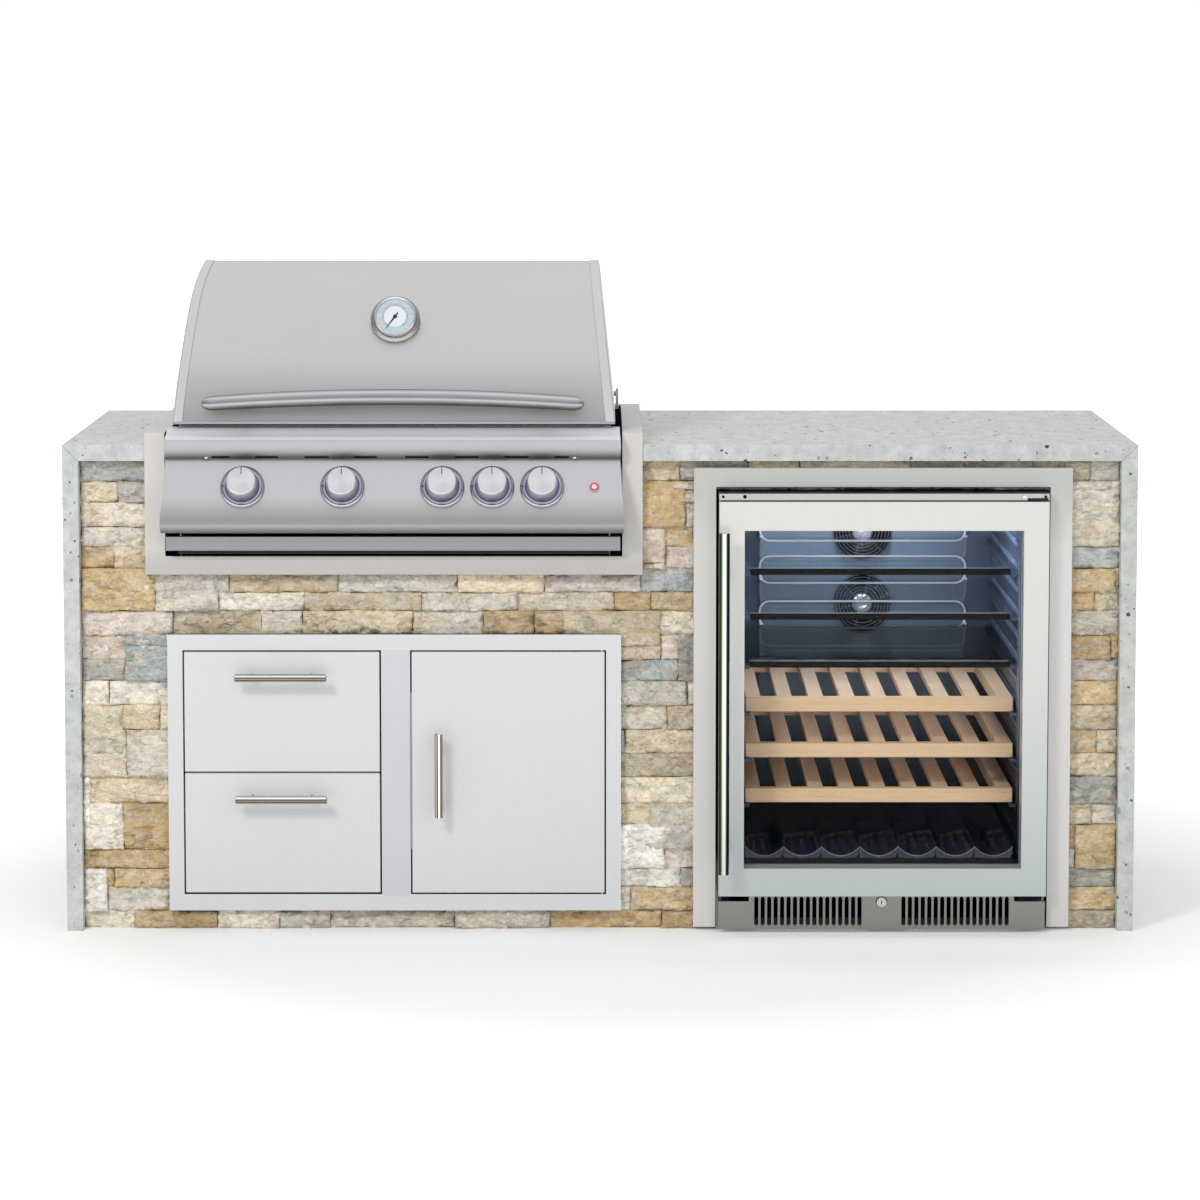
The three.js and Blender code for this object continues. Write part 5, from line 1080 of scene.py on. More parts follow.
panel = bmesh.new()
line = panel_line()
breaks = sorted({-panel_half, panel_half, *[value for slot_span in SLOTS for value in slot_span]})
rows = []
for y, z in line:
    spread = 1 + flare(y) / panel_half
    rows.append([panel.verts.new((grill_x + x * spread, y, z)) for x in breaks])
for (first, second), (upper, lower) in zip(zip(rows, rows[1:]), zip(line, line[1:])):
    in_slot_row = upper[0] < crease_y and SLOT_LOW < (upper[1] + lower[1]) / 2 - crease_z < SLOT_HIGH
    for column, x0 in enumerate(breaks[:-1]):
        if in_slot_row and any(abs(x0 - slot_span[0]) < 1e-9 for slot_span in SLOTS):
            continue
        panel.faces.new([second[column], second[column + 1], first[column + 1], first[column]])
for column, order in ((0, 1), (len(breaks) - 1, -1)):
    panel.faces.new([row[column] for row in rows][::order])
bmesh.ops.recalc_face_normals(panel, faces=panel.faces)
panel_piece = fit("control_panel_finished", panel, panel_steel_painted_shade, "island", ["control_panel"])
# The bullnose is painted darker on its lower half, a painted shade.
nose_steel_painted_shade = steel_finish(
    "nose_steel_painted_shade", "cdccd0", 0.5, ALONG_X, 0.08, 0.1, 1.0, ("757270", crease_z + 0.030, crease_z + 0.004))
repaint(panel_piece, nose_steel_painted_shade, lambda middle, normal: middle.z > crease_z)
# The ledge gets a paler, less metallic copy of the steel: painted light where the hood shades it.
ledge_steel_painted_light = steel_finish("ledge_steel_painted_light", "d8d8dd", 0.5, ALONG_X, 0.05, 0.06, 0.3)
repaint(panel_piece, ledge_steel_painted_light, lambda middle, normal: middle.z > nose_z + 0.6 * NOSE_HALF)
# The inside and cut edges of the sheet are painted dark: painted shade behind the air slots.
panel_piece.data.materials.append(dark_gap)
thicken(panel_piece, PANEL_SHEET)
panel_piece.modifiers["wall"].material_offset = len(panel_piece.data.materials) - 1
panel_piece.modifiers["wall"].material_offset_rim = len(panel_piece.data.materials) - 1
for index, x in enumerate(SCREW_XS):
    screw_place = tipped((grill_x + x, crease_y - SCREW_DEPTH, crease_z + SCREW_RISE), SCREW_TILT)
    head = turned([(0.0036, -0.001), (0.0036, 0.0008), (0.0026, 0.002), (0.0012, 0.0024), (0.0010, 0.0012),
                   (0, 0.0012)], 24, screw_place)
    fit("panel_screw_%d" % (index + 1), head, gauge_steel, "island")

# Knobs and bezels: turned aluminium knobs with a spun cap, each in a polished ring printed LOW and HI.
# A blue light ring glows at the foot of each knob and a blue line on its cap shows where it points.
KNOB_SIDES = 96
KNOB_LEVEL = 0.840
RINGS_PER_METRE = 900
WORD_RADIUS, WORD_LEVEL, WORD_SIZE = 0.0362, 0.00775, 0.0052
POINTER_LOW, POINTER_HIGH = 0.0376, 0.0386
POINTER = [(-0.0008, 0.0125), (0.0008, 0.0125), (0.0008, 0.0262), (-0.0008, 0.0262)]
knob_nodes = ["knob_%d" % number for number in range(1, 6)]
face_lean = math.atan2(crease_y - bulge_y, crease_z - bulge_z)


def spun_finish():
    material, tree, surface = new_finish("spun_cap", Metallic=1.0)[:3]
    local = add_node(tree, "Attribute", attribute_name="spun", attribute_type="GEOMETRY").outputs["Vector"]
    parts = add_node(tree, "SeparateXYZ", {"Vector": local}).outputs
    circles = add_node(tree, "CombineXYZ", {"X": parts["X"], "Y": parts["Y"]}).outputs[0]
    rings = noise_of(tree, circles, 1.0, 3.0)
    shade = math_node(tree, "MULTIPLY_ADD", rings, 0.14, 0.93)
    # Painted sheen sweeping round the cap, and painted shade that darkens the knob's side towards its foot.
    shade = math_node(tree, "MULTIPLY", shade, math_node(tree, "MULTIPLY_ADD", parts["Z"], 0.06, 0.94))
    shade = math_node(tree, "MULTIPLY", shade, share_of(tree, parts["Y"], 9.0, 33.0, 0.36))
    link_up(tree, surface.inputs, Base_Color=shaded(tree, tone("dedee3"), shade),
            Roughness=math_node(tree, "MULTIPLY_ADD", rings, 0.2, 0.24),
            Normal=bumps_of(tree, rings, 0.12, 0.0003))
    return material


def mark_spun(piece, place):
    """Stores each point's radius and height about the piece's own axis for the spun circles, and a painted
    sheen that sweeps round the axis.
    """
    inverse = place.inverted()
    layer = piece.data.attributes.new("spun", "FLOAT_VECTOR", "POINT")
    for index, vertex in enumerate(piece.data.vertices):
        local = inverse @ vertex.co
        painted_sheen = math.cos(2 * math.atan2(local.y, local.x) - 0.5)
        layer.data[index].vector = (
            math.hypot(local.x, local.y) * RINGS_PER_METRE, local.z * RINGS_PER_METRE, painted_sheen)


spun_cap = spun_finish()
bezel_steel = steel_finish("bezel_steel", "b4b4b9", 0.22, NO_WAY, 0.02, 0.05)
blue_glow = plain_finish("blue_glow", "2f2d92", 0.4, 0.1, 0.2)
for number, knob_node in enumerate(knob_nodes, 1):
    low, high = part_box("knob_bezel_%d" % number)
    control_x = (low.x + high.x) / 2
    control_y = crease_y + (bulge_y - crease_y) * (crease_z - KNOB_LEVEL) / (crease_z - bulge_z)
    control_place = tipped((control_x, control_y, KNOB_LEVEL), math.pi / 2 - face_lean)
    ring = turned([(0.012, 0.0004), (0.0405, 0.0004), (0.0410, 0.0020), (0.0406, 0.0046), (0.0392, 0.0066),
                   (0.0372, 0.0074), (0.0356, 0.0066), (0.0340, 0.0070), (0.0325, 0.0078), (0.012, 0.0078)],
                  KNOB_SIDES, control_place)
    fit("bezel_%d" % number, ring, bezel_steel, "island", ["knob_bezel_%d" % number])
    glow = turned([(0.0302, 0.0079), (0.0321, 0.0079), (0.0318, 0.0084), (0.0305, 0.0084), (0.0302, 0.0079)],
                  KNOB_SIDES, control_place)
    fit("light_ring_%d" % number, glow, blue_glow, "island")
    for words, angle in (("LOW", -math.pi / 2), ("HI", math.pi)):
        spot = control_place @ Matrix.Translation(
            (WORD_RADIUS * math.cos(angle), WORD_RADIUS * math.sin(angle), WORD_LEVEL))
        lettering("bezel_%d_%s" % (number, words.lower()), words, WORD_SIZE, spot, print_black,
                  "island")
    knob = turned(
        [(0, 0.0250), (0.0046, 0.0250), (0.0046, 0.0087), (0.0290, 0.0087), (0.0300, 0.0096),
         (0.0300, 0.0120), (0.0294, 0.0180), (0.0284, 0.0280), (0.0276, 0.0345), (0.0268, 0.0368),
         (0.0256, 0.0380), (0.0240, 0.0383), (0.0190, 0.0381), (0.0100, 0.0378), (0, 0.0377)],
        KNOB_SIDES, control_place)
    knob_piece = fit("knob_%d_finished" % number, knob, spun_cap, knob_node, [knob_node])
    mark_spun(knob_piece, control_place)
    line_shape = bmesh.new()
    prism(line_shape, control_place, POINTER, POINTER_LOW, POINTER_HIGH, False)
    fit("pointer_line_%d" % number, line_shape, blue_glow, knob_node)

# Light button: a small polished push button with a red lit ring round a white centre.
# It sits in the sloped face in line with the knobs and springs back when it is pressed.
button_red = plain_finish("button_red", "d8232c", 0.35, 0.1, 0.5)
low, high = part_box("light_button")
button_x = (low.x + high.x) / 2
button_place = Matrix.Translation((button_x - control_x, 0, 0)) @ control_place
button = turned([(0, -0.014), (0.012, -0.014), (0.012, -0.012), (0.009, -0.012), (0.009, 0.0034),
                 (0.0084, 0.0046), (0.0074, 0.0050), (0.0070, 0.0044), (0, 0.0044)], 64, button_place)
fit("light_button_body", button, bezel_steel, "light_button", ["light_button"])
for name, inner, outer, material in (
        ("light_button_ring", 0.0046, 0.0068, button_red), ("light_button_centre", 0.0, 0.0045, dial_white)):
    fit(name, ring_disc(inner, outer, 0.0045, button_place), material, "light_button")

# Drip tray: a shallow folded pan behind a deep brushed front.
# The pan slides on runners of the firebox; the faces behind its front are painted near black, a painted shade
# for the dark gap.
TRAY_EDGE = 0.0012
TRAY_FRONT_SHEET = 0.005
tray_steel = steel_finish("tray_steel", "8f8e93", 0.36, ALONG_X, 0.1, 0.1)
tray_piece = softened("drip_tray", tray_steel, "drip_tray", TRAY_EDGE)
tray_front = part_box("drip_tray")[0].y
repaint(tray_piece, dark_gap, lambda middle, normal: (
    normal.y < -0.5 and middle.y > tray_front + TRAY_FRONT_SHEET))

# Door and drawer unit: folded stainless sheet with a pale satin finish, set flush in one face frame.
# The fronts are folded boxes; each drawer runs on two rails inside a sleeve. Fronts carry bar handles.
# A thin grey catch strip stands on the post beside the cupboard door.
UNIT_EDGE = 0.0014
satin_steel = steel_finish("satin_steel", "dee0e1", 0.5, ALONG_Z, 0.03, 0.05, 0.25)
post_steel = steel_finish("post_steel", "d3d4d9", 0.45, ALONG_Z, 0.03, 0.05, 0.3)
POST = (-0.4067, -0.3547)
POST_LEVELS = (unit_low.z + 0.0265, unit_high.z - 0.0295)
CATCH_LEVELS = (0.1545, 0.4495)
CATCH_SPAN = (0.0002, 0.0042)
CATCH_DEPTHS = (-0.0004, 0.0008)
SLEEVE_LEFT, SLEEVE_RIGHT = 0.03, 0.02
unit_shape = solid_of("unit_frame")
for cut, normal in [((x, 0, 0), (1, 0, 0)) for x in POST] + [((0, 0, z), (0, 0, 1)) for z in POST_LEVELS]:
    bmesh.ops.bisect_plane(unit_shape, geom=unit_shape.verts[:] + unit_shape.edges[:] + unit_shape.faces[:],
                           plane_co=cut, plane_no=normal)
unit_piece = fit("unit_frame_finished", unit_shape, satin_steel, "island", ["unit_frame"],
                 UNIT_EDGE, segments=3)
repaint(unit_piece, post_steel, lambda middle, normal: (
    POST[0] < middle.x < POST[1] and POST_LEVELS[0] < middle.z < POST_LEVELS[1] and normal.y < -0.5
    and middle.y < unit_low.y + FACE_DEPTH))
# Faces behind the face frame inside the sleeve are painted near black: painted shade.
repaint(unit_piece, dark_gap, lambda middle, normal: (
    middle.y > unit_low.y + FACE_DEPTH
    and unit_low.x + SLEEVE_LEFT < middle.x < unit_high.x - SLEEVE_RIGHT))
catch_grey = plain_finish("catch_grey", "94959a", 0.5)
plate("catch_strip", (
    [POST[1] + x for x in CATCH_SPAN], [unit_low.y + y for y in CATCH_DEPTHS], CATCH_LEVELS),
    catch_grey, "island", bevel=0.0002)
for leaf_node in ("upper_drawer", "lower_drawer", "cupboard_door"):
    softened(leaf_node, satin_steel, leaf_node, UNIT_EDGE, 3)

# The bars' bright and dark lines are painted reflections, set by which way the surface faces.
bar_steel = painted_reflection_finish("bar_steel", "Z", (
    (0.0, "6a605f"), (0.06, "7d7271"), (0.12, "c9bfb5"), (0.20, "bfb5aa"), (0.26, "5b534b"),
    (0.36, "5b534b"), (0.42, "a79e93"), (0.50, "978e84"), (0.55, "3d3731"), (0.64, "453f38"),
    (0.70, "f6f5f2"), (0.93, "ffffff"), (0.97, "a79f97"), (1.0, "8f877f")))
upright_steel = painted_reflection_finish("upright_steel", "X", (
    (0.0, "8d8078"), (0.10, "9a8e85"), (0.20, "bbb4ac"), (0.28, "978e84"), (0.32, "3f3932"),
    (0.42, "3f3932"), (0.46, "f6f4ef"), (0.62, "fdfcfa"), (0.68, "cfc7bd"), (0.73, "5d534a"),
    (0.82, "6a5f56"), (0.88, "a89c92"), (1.0, "8d8078")))
BAR_RADIUS = 0.0075
POST_RADIUS = 0.004
POST_SPACING = 0.110


def bar_handle(node, body, axis, material):
    """A straight round bar on two posts."""
    low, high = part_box(node)
    middle = (low + high) / 2
    along = Vector((1, 0, 0)) if axis == "X" else Vector((0, 0, 1))
    half_length = (high - low).dot(along) / 2
    centre = Vector((middle.x, low.y + BAR_RADIUS, middle.z))
    shape = bmesh.new()
    domed_rod(shape, centre - along * half_length, centre + along * half_length, BAR_RADIUS, 40, 0.16)
    for side in (-1, 1):
        foot = centre + along * side * POST_SPACING / 2
        seat = Vector((foot.x, high.y, foot.z))
        tube(shape, [foot, seat], POST_RADIUS, 20)
    fit(node + "_finished", shape, material, body, [node], smooth_degrees=40)


bar_handle("upper_drawer_handle", "upper_drawer", "X", bar_steel)
bar_handle("lower_drawer_handle", "lower_drawer", "X", bar_steel)
bar_handle("cupboard_door_handle", "cupboard_door", "Z", upright_steel)

# Refrigerator trim and cabinet: a grey folded trim round a foamed cabinet with a dark blue grey liner.
# The liner has moulded ledges up both sides and a raised rear duct; a steel strip caps the cabinet.
# The cabinet's machine space under the floor is painted black, a painted shade.
LEDGE_PITCH = 0.0425
LEDGE_COUNT = 14
LEDGE_START = 0.035
LEDGE_HEIGHT = 0.012
LEDGE_PROUD = 0.0025
# How far the ledges stay behind the front and in front of the rear wall, and where the front rib lies.
LEDGE_ENDS = (0.055, 0.02)
FRONT_RIB = (0.012, 0.045)
FRONT_RIB_PROUD = 0.0028
FRONT_RIB_FOOT, FRONT_RIB_HEAD = 0.01, 0.006
TRIM_LIP = 0.035
TRIM_HEAD = 0.03
MACHINE_SPACE = 0.035
TRIM_EDGE = 0.0012
CABINET_EDGE = 0.0008
CAP_STRIP = (0.811, -0.27)
# The trim is painted darker along its head and paler down its sides: painted shade and light.
trim_steel_painted_shade = steel_finish("trim_steel_painted_shade", "c8c7c3", 0.5, ALONG_Z, 0.04, 0.05, 0.25, ("dedddb", 0.82, 0.72))
# The liner is painted darker towards the cabinet floor, a painted shade.
liner_blue_painted_shade = steel_finish("liner_blue_painted_shade", "465263", 0.3, ALONG_X, 0.06, 0.1, 0.4, ("1b212b", 0.42, 0.20))
black_space = plain_finish("black_space", "0c0d10", 0.7, shine=0.15)
trim_piece = softened("fridge_trim", trim_steel_painted_shade, "island", TRIM_EDGE, 3)
# The trim's inner returns get dark_gap: painted shade in the gap round the door.
repaint(trim_piece, dark_gap, lambda middle, normal: (
    trim_low.x + TRIM_LIP < middle.x < trim_high.x - TRIM_LIP and middle.z < trim_high.z - TRIM_HEAD
    and (abs(normal.x) > 0.5 or abs(normal.z) > 0.5)))
cabinet_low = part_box("fridge_cabinet")[0]
fridge_x = (trim_low.x + trim_high.x) / 2
cabinet_piece = softened("fridge_cabinet", liner_blue_painted_shade, "island", CABINET_EDGE)
door_low, door_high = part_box("fridge_door_frame")
repaint(cabinet_piece, black_space, lambda middle, normal: middle.z < door_low.z + MACHINE_SPACE)
repaint(cabinet_piece, trim_steel_painted_shade, lambda middle, normal: (
    middle.z > CAP_STRIP[0] and middle.y < CAP_STRIP[1]))
FAN_LEVELS = (0.682, 0.537)
FAN_RADIUS = 0.059
WELL_DEPTH, WELL_RIM = 0.002, 0.004
CAVITY_HALF = 0.260
cavity_rear, cavity_front = 0.2716, -0.2794
cavity_floor, cavity_top = 0.1243, 0.770
# The wells round the fans are painted black: painted shade.
repaint(cabinet_piece, black_space, lambda middle, normal: middle.y > cavity_rear + WELL_DEPTH and any(
    math.hypot(middle.x - fridge_x, middle.z - level) < FAN_RADIUS + WELL_RIM for level in FAN_LEVELS))
# The ledges are painted paler than the liner as a painted highlight, and darker towards the floor as painted
# shade.
ledge_blue_painted_light = steel_finish("ledge_blue_painted_light", "8296b2", 0.25, ALONG_Y, 0.06, 0.1, 0.5, ("222a36", 0.48, 0.24))
ribs = bmesh.new()
for index in range(LEDGE_COUNT):
    z = cavity_floor + LEDGE_START + index * LEDGE_PITCH
    for side in (-1, 1):
        wall_x = fridge_x + side * CAVITY_HALF
        block(ribs, sorted((wall_x, wall_x - side * LEDGE_PROUD)),
              (cavity_front + LEDGE_ENDS[0], cavity_rear - LEDGE_ENDS[1]), (z, z + LEDGE_HEIGHT))
for side in (-1, 1):
    wall_x = fridge_x + side * CAVITY_HALF
    block(ribs, sorted((wall_x, wall_x - side * FRONT_RIB_PROUD)),
          (cavity_front + FRONT_RIB[0], cavity_front + FRONT_RIB[1]),
          (cavity_floor + FRONT_RIB_FOOT, cavity_top - FRONT_RIB_HEAD))
fit("side_ledges", ribs, ledge_blue_painted_light, "island", bevel=0.001)
DUCT_HALF = 0.205
DUCT_RISE = 0.003
DUCT_FOOT, DUCT_HEAD = 0.03, 0.01
WELL_GAP = 0.002
WELL_STEPS = 64
# The duct cover is painted darker towards the bottom, a painted shade.
duct_steel_painted_shade = steel_finish("duct_steel_painted_shade", "5e6f81", 0.3, ALONG_X, 0.08, 0.16, 0.5, ("232a35", 0.36, 0.20))
duct = bmesh.new()
duct_bottom, duct_top = cavity_floor + DUCT_FOOT, cavity_top - DUCT_HEAD
well_radius = FAN_RADIUS + WELL_GAP
turns = [2 * math.pi * step / WELL_STEPS for step in range(WELL_STEPS)]
outlines = [[(fridge_x - DUCT_HALF, duct_bottom), (fridge_x + DUCT_HALF, duct_bottom),
             (fridge_x + DUCT_HALF, duct_top), (fridge_x - DUCT_HALF, duct_top)]]
outlines += [[(fridge_x + well_radius * math.cos(turn), level + well_radius * math.sin(turn))
              for turn in turns] for level in FAN_LEVELS]
for outline in outlines:
    corners = [duct.verts.new((x, cavity_rear - DUCT_RISE, z)) for x, z in outline]
    for index, corner in enumerate(corners):
        duct.edges.new((corner, corners[(index + 1) % len(corners)]))
bmesh.ops.triangle_fill(duct, edges=duct.edges[:], normal=(0, -1, 0))
bmesh.ops.recalc_face_normals(duct, faces=duct.faces)
if duct.faces[:][0].normal.y > 0:
    bmesh.ops.reverse_faces(duct, faces=duct.faces)
thicken(fit("rear_duct_cover", duct, duct_steel_painted_shade, "island"), DUCT_RISE)

# Fans: black rotors in round wells of the rear wall, each behind a grille of fixed rings.
# The hub of each grille is bright, and four screws hold the grille to the wall.
GRILLE_RADII = (0.020, 0.0265, 0.033, 0.0395, 0.046, 0.0525, 0.058)
GRILLE_STEPS = 48
SPOKES = 6
SPOKE_TURN = 0.26
SPOKE_REACH = (0.013, 0.0595)
GRILLE_WIRE, SPOKE_WIRE = 0.0011, 0.0012
GRILLE_SEAT = 0.0005
FAN_EDGE = 0.0004
FAN_SCREW_X, FAN_SCREW_Z = 0.052, 0.046
fan_black = plain_finish("fan_black", "0f1114", 0.45, shine=0.2)
ring_grey = plain_finish("ring_grey", "5a636e", 0.3)
bright_hub = steel_finish("bright_hub", "eef3f8", 0.2, NO_WAY, 0.02, 0.4, 0.6)
for name, level in (("fan_upper", FAN_LEVELS[0]), ("fan_lower", FAN_LEVELS[1])):
    softened(name, fan_black, name, FAN_EDGE)
    grille = bmesh.new()
    for radius in GRILLE_RADII:
        angles = [2 * math.pi * step / GRILLE_STEPS for step in range(GRILLE_STEPS)]
        circle = [(fridge_x + radius * math.cos(angle), cavity_rear - GRILLE_SEAT,
                   level + radius * math.sin(angle)) for angle in angles]
        tube(grille, circle, GRILLE_WIRE, 6, closed=True)
    for spoke in range(SPOKES):
        angle = 2 * math.pi * spoke / SPOKES + SPOKE_TURN
        ends = [(fridge_x + radius * math.cos(angle), cavity_rear + GRILLE_SEAT,
                 level + radius * math.sin(angle)) for radius in SPOKE_REACH]
        tube(grille, ends, SPOKE_WIRE, 6)
    fit(name + "_grille", grille, ring_grey, "island")
    face_place = tipped((fridge_x, cavity_rear, level))
    hub = turned([(0.0185, -0.001), (0.0185, 0.002), (0.0165, 0.0032), (0.0140, 0.0020), (0.0110, 0.0034),
                  (0.0070, 0.0020), (0, 0.0036)], 72, face_place, 12, 0.0022, (2, 3, 4, 5))
    fit(name + "_grille_hub", hub, bright_hub, "island")
    screws = bmesh.new()
    for x in (-FAN_SCREW_X, FAN_SCREW_X):
        for z in (-FAN_SCREW_Z, FAN_SCREW_Z):
            spot = tipped((fridge_x + x, cavity_rear, level + z))
            piece = turned([(0.0042, -0.001), (0.0042, 0.001), (0.0026, 0.002), (0, 0.0022)], 20, spot)
            holder = bpy.data.meshes.new("screw")
            piece.to_mesh(holder)
            piece.free()
            screws.from_mesh(holder)
            bpy.data.meshes.remove(holder)
    fit(name + "_screws", screws, black_space, "island")

# Lamp bar: a cool white light strip under the ceiling of the cabinet, behind the door.
# Its milky plastic cover is clipped to the liner; a lamp just behind it lights the shelves.
cool_light = plain_finish("cool_light", "dfe9ff", 0.5, 0.02, 3.0)
LAMP_BAR_HALF = 0.2
LAMP_BAR_DEPTHS = (0.02, 0.034)
LAMP_BAR_DROPS = (0.006, 0.0005)
plate("lamp_bar", (
    (fridge_x - LAMP_BAR_HALF, fridge_x + LAMP_BAR_HALF),
    [cavity_front + depth for depth in LAMP_BAR_DEPTHS], [cavity_top - drop for drop in LAMP_BAR_DROPS]),
    cool_light, "island", bevel=0.001)

# Glass shelves: clear float glass with a black front trim, and a bent chrome wire guard at the rear.
# The panes rest on the moulded ledges, and the guard keeps cans away from the rear wall.
GUARD_HALF = 0.2055
GUARD_RADIUS = 0.020
GUARD_LOW, GUARD_HIGH = -0.004, 0.050
GUARD_WIRE = 0.0021
GUARD_OUT = 0.0055
LEG_WIRE = 0.0022
LEG_INSET, LEG_REACH, LEG_RISE = 0.0005, 0.02, 0.0075
TRIM_INSET = 0.013
TRIM_DROP = 0.007
TRIM_DEPTH = 0.008
PANE_SHEET = 0.005


def clear_finish(name, colour, base_share, rim_share):
    """Clear glass seen from both sides: nearly open face on, more of a mirror at a grazing angle."""
    material, tree, surface, place = new_finish(name, Roughness=0.03, Metallic=0.0)
    cloud = noise_of(tree, place, 3.0)
    graze = add_node(tree, "LayerWeight", {"Blend": 0.25}).outputs["Facing"]
    graze = math_node(tree, "POWER", graze, 2.0)
    link_up(tree, surface.inputs, Base_Color=mix_colour(tree, cloud, tone(colour), tone("0c1013")),
            Alpha=math_node(tree, "MULTIPLY_ADD", graze, rim_share, base_share))
    return material


def rounded_loop(centre_x, y, half_width, z_span, radius, steps=6):
    """The points of an upright rectangle with round corners."""
    points = []
    corners = [(1, 1), (-1, 1), (-1, -1), (1, -1)]
    for number, (sign_x, sign_z) in enumerate(corners):
        corner_x = centre_x + sign_x * (half_width - radius)
        corner_z = (z_span[1] - radius) if sign_z > 0 else (z_span[0] + radius)
        for step in range(steps + 1):
            angle = math.pi / 2 * (number + step / steps)
            points.append((corner_x + radius * math.cos(angle), y, corner_z + radius * math.sin(angle)))
    return points


shelf_glass = clear_finish("shelf_glass", "2a3a42", 0.07, 0.18)
shelf_edge = plain_finish("shelf_edge", "08090b", 0.25, shine=0.12)
chrome_wire = steel_finish("chrome_wire", "ffffff", 0.3, NO_WAY, 0.01, 0.03, 0.1)
# A thin pale strip on each pane's front edge is a painted highlight.
glass_edge_highlight = plain_finish("glass_edge_highlight", "9fb4bd", 0.2)
for number in (1, 2, 3):
    node = "glass_shelf_%d" % number
    low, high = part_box(node)
    level = low.z + TRIM_DROP
    plate(node + "_pane", ((low.x, high.x), (low.y + TRIM_DEPTH, high.y), (level, level + PANE_SHEET)),
          shelf_glass, "island", [node], 0.0012)
    trim_span = (low.x + TRIM_INSET, high.x - TRIM_INSET)
    for name, y_span, z_span, material, bevel in (
            ("_front_trim", (0.0, 0.0079), (-TRIM_DROP, 0.0052), shelf_edge, 0.0018),
            ("_glass_rim_highlight", (0.001, 0.0022), (0.0053, 0.0064), glass_edge_highlight, 0.0003)):
        plate(node + name, (
            trim_span, (low.y + y_span[0], low.y + y_span[1]), (level + z_span[0], level + z_span[1])),
            material, "island", bevel=bevel)
    guard = bmesh.new()
    loop = rounded_loop(
        fridge_x, high.y + GUARD_OUT, GUARD_HALF, (level + GUARD_LOW, level + GUARD_HIGH), GUARD_RADIUS)
    tube(guard, loop, GUARD_WIRE, 12, closed=True)
    for side in (-1, 1):
        x = fridge_x + side * (GUARD_HALF - LEG_INSET)
        tube(guard, [(x, high.y + GUARD_OUT, level + LEG_RISE), (x, high.y - LEG_REACH, level + LEG_RISE)],
             LEG_WIRE, 10)
    fit(node + "_guard", guard, chrome_wire, "island")

# Wine shelves: solid beech, nine slats let into a front and a rear rail, edges eased with sandpaper.
# They slide on the moulded ledges of the liner.
SLATS = 9
RAIL = 0.020
SLAT_SHEET = 0.013
SLAT_GAP = 0.0004
SLAT_SEAT = 0.0002
SLAT_DROP = 0.0006


def wood_effect():
    """Straight grain of beech along one axis: light and dark streaks with short darker flecks."""
    tree, given, result = new_effect(
        "beech_grain",
        [("Vector", "Vector", None), ("Stretch", "Vector", (3.0, 60.0, 60.0))],
        [("Streaks", "Float"), ("Flecks", "Float")])
    drawn = add_node(tree, "VectorMath", {0: given["Vector"], 1: given["Stretch"]}, operation="MULTIPLY")
    flecks = noise_of(tree, drawn.outputs[0], 7.0, 3.0)
    link_up(tree, result, Streaks=noise_of(tree, drawn.outputs[0], 1.0, 6.0, Distortion=0.7),
            Flecks=share_of(tree, flecks, 0.58, 0.7))
    return tree


beech_grain = wood_effect()


def beech_finish(name, stretch, light, dark):
    material, tree, surface, place = new_finish(name, Roughness=0.55)
    grain = use_effect(tree, beech_grain, {"Vector": place, "Stretch": stretch})
    colour = mix_colour(tree, grain["Streaks"], tone(light), tone(dark))
    colour = mix_colour(tree, math_node(tree, "MULTIPLY", grain["Flecks"], 0.35), colour, tone("a97b4e"))
    link_up(tree, surface.inputs, Base_Color=colour, Normal=bumps_of(tree, grain["Streaks"], 0.15, 0.0006))
    return material


beech_rail = beech_finish("beech_rail", (4.0, 70.0, 90.0), "fbe0bd", "e6bf92")
beech_slat = beech_finish("beech_slat", (80.0, 4.0, 90.0), "f7ddbd", "e2bf98")
for number in (1, 2, 3):
    node = "wine_shelf_%d" % number
    low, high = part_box(node)
    rails = bmesh.new()
    for y_span in ((low.y, low.y + RAIL), (high.y - RAIL, high.y)):
        block(rails, (low.x, high.x), y_span, (low.z, high.z))
    fit(node + "_rails", rails, beech_rail, node, [node], 0.0018, segments=3)
    slat_width = (high.x - low.x) / (2 * SLATS - 1)
    slats = bmesh.new()
    for index in range(SLATS):
        x = low.x + 2 * index * slat_width
        bottom = low.z if index in (0, SLATS - 1) else high.z - SLAT_SHEET
        block(slats, (x + SLAT_GAP, x + slat_width - SLAT_GAP),
              (low.y + RAIL + SLAT_SEAT, high.y - RAIL - SLAT_SEAT), (bottom, high.z - SLAT_DROP))
    fit(node + "_slats", slats, beech_slat, node, bevel=0.0014)

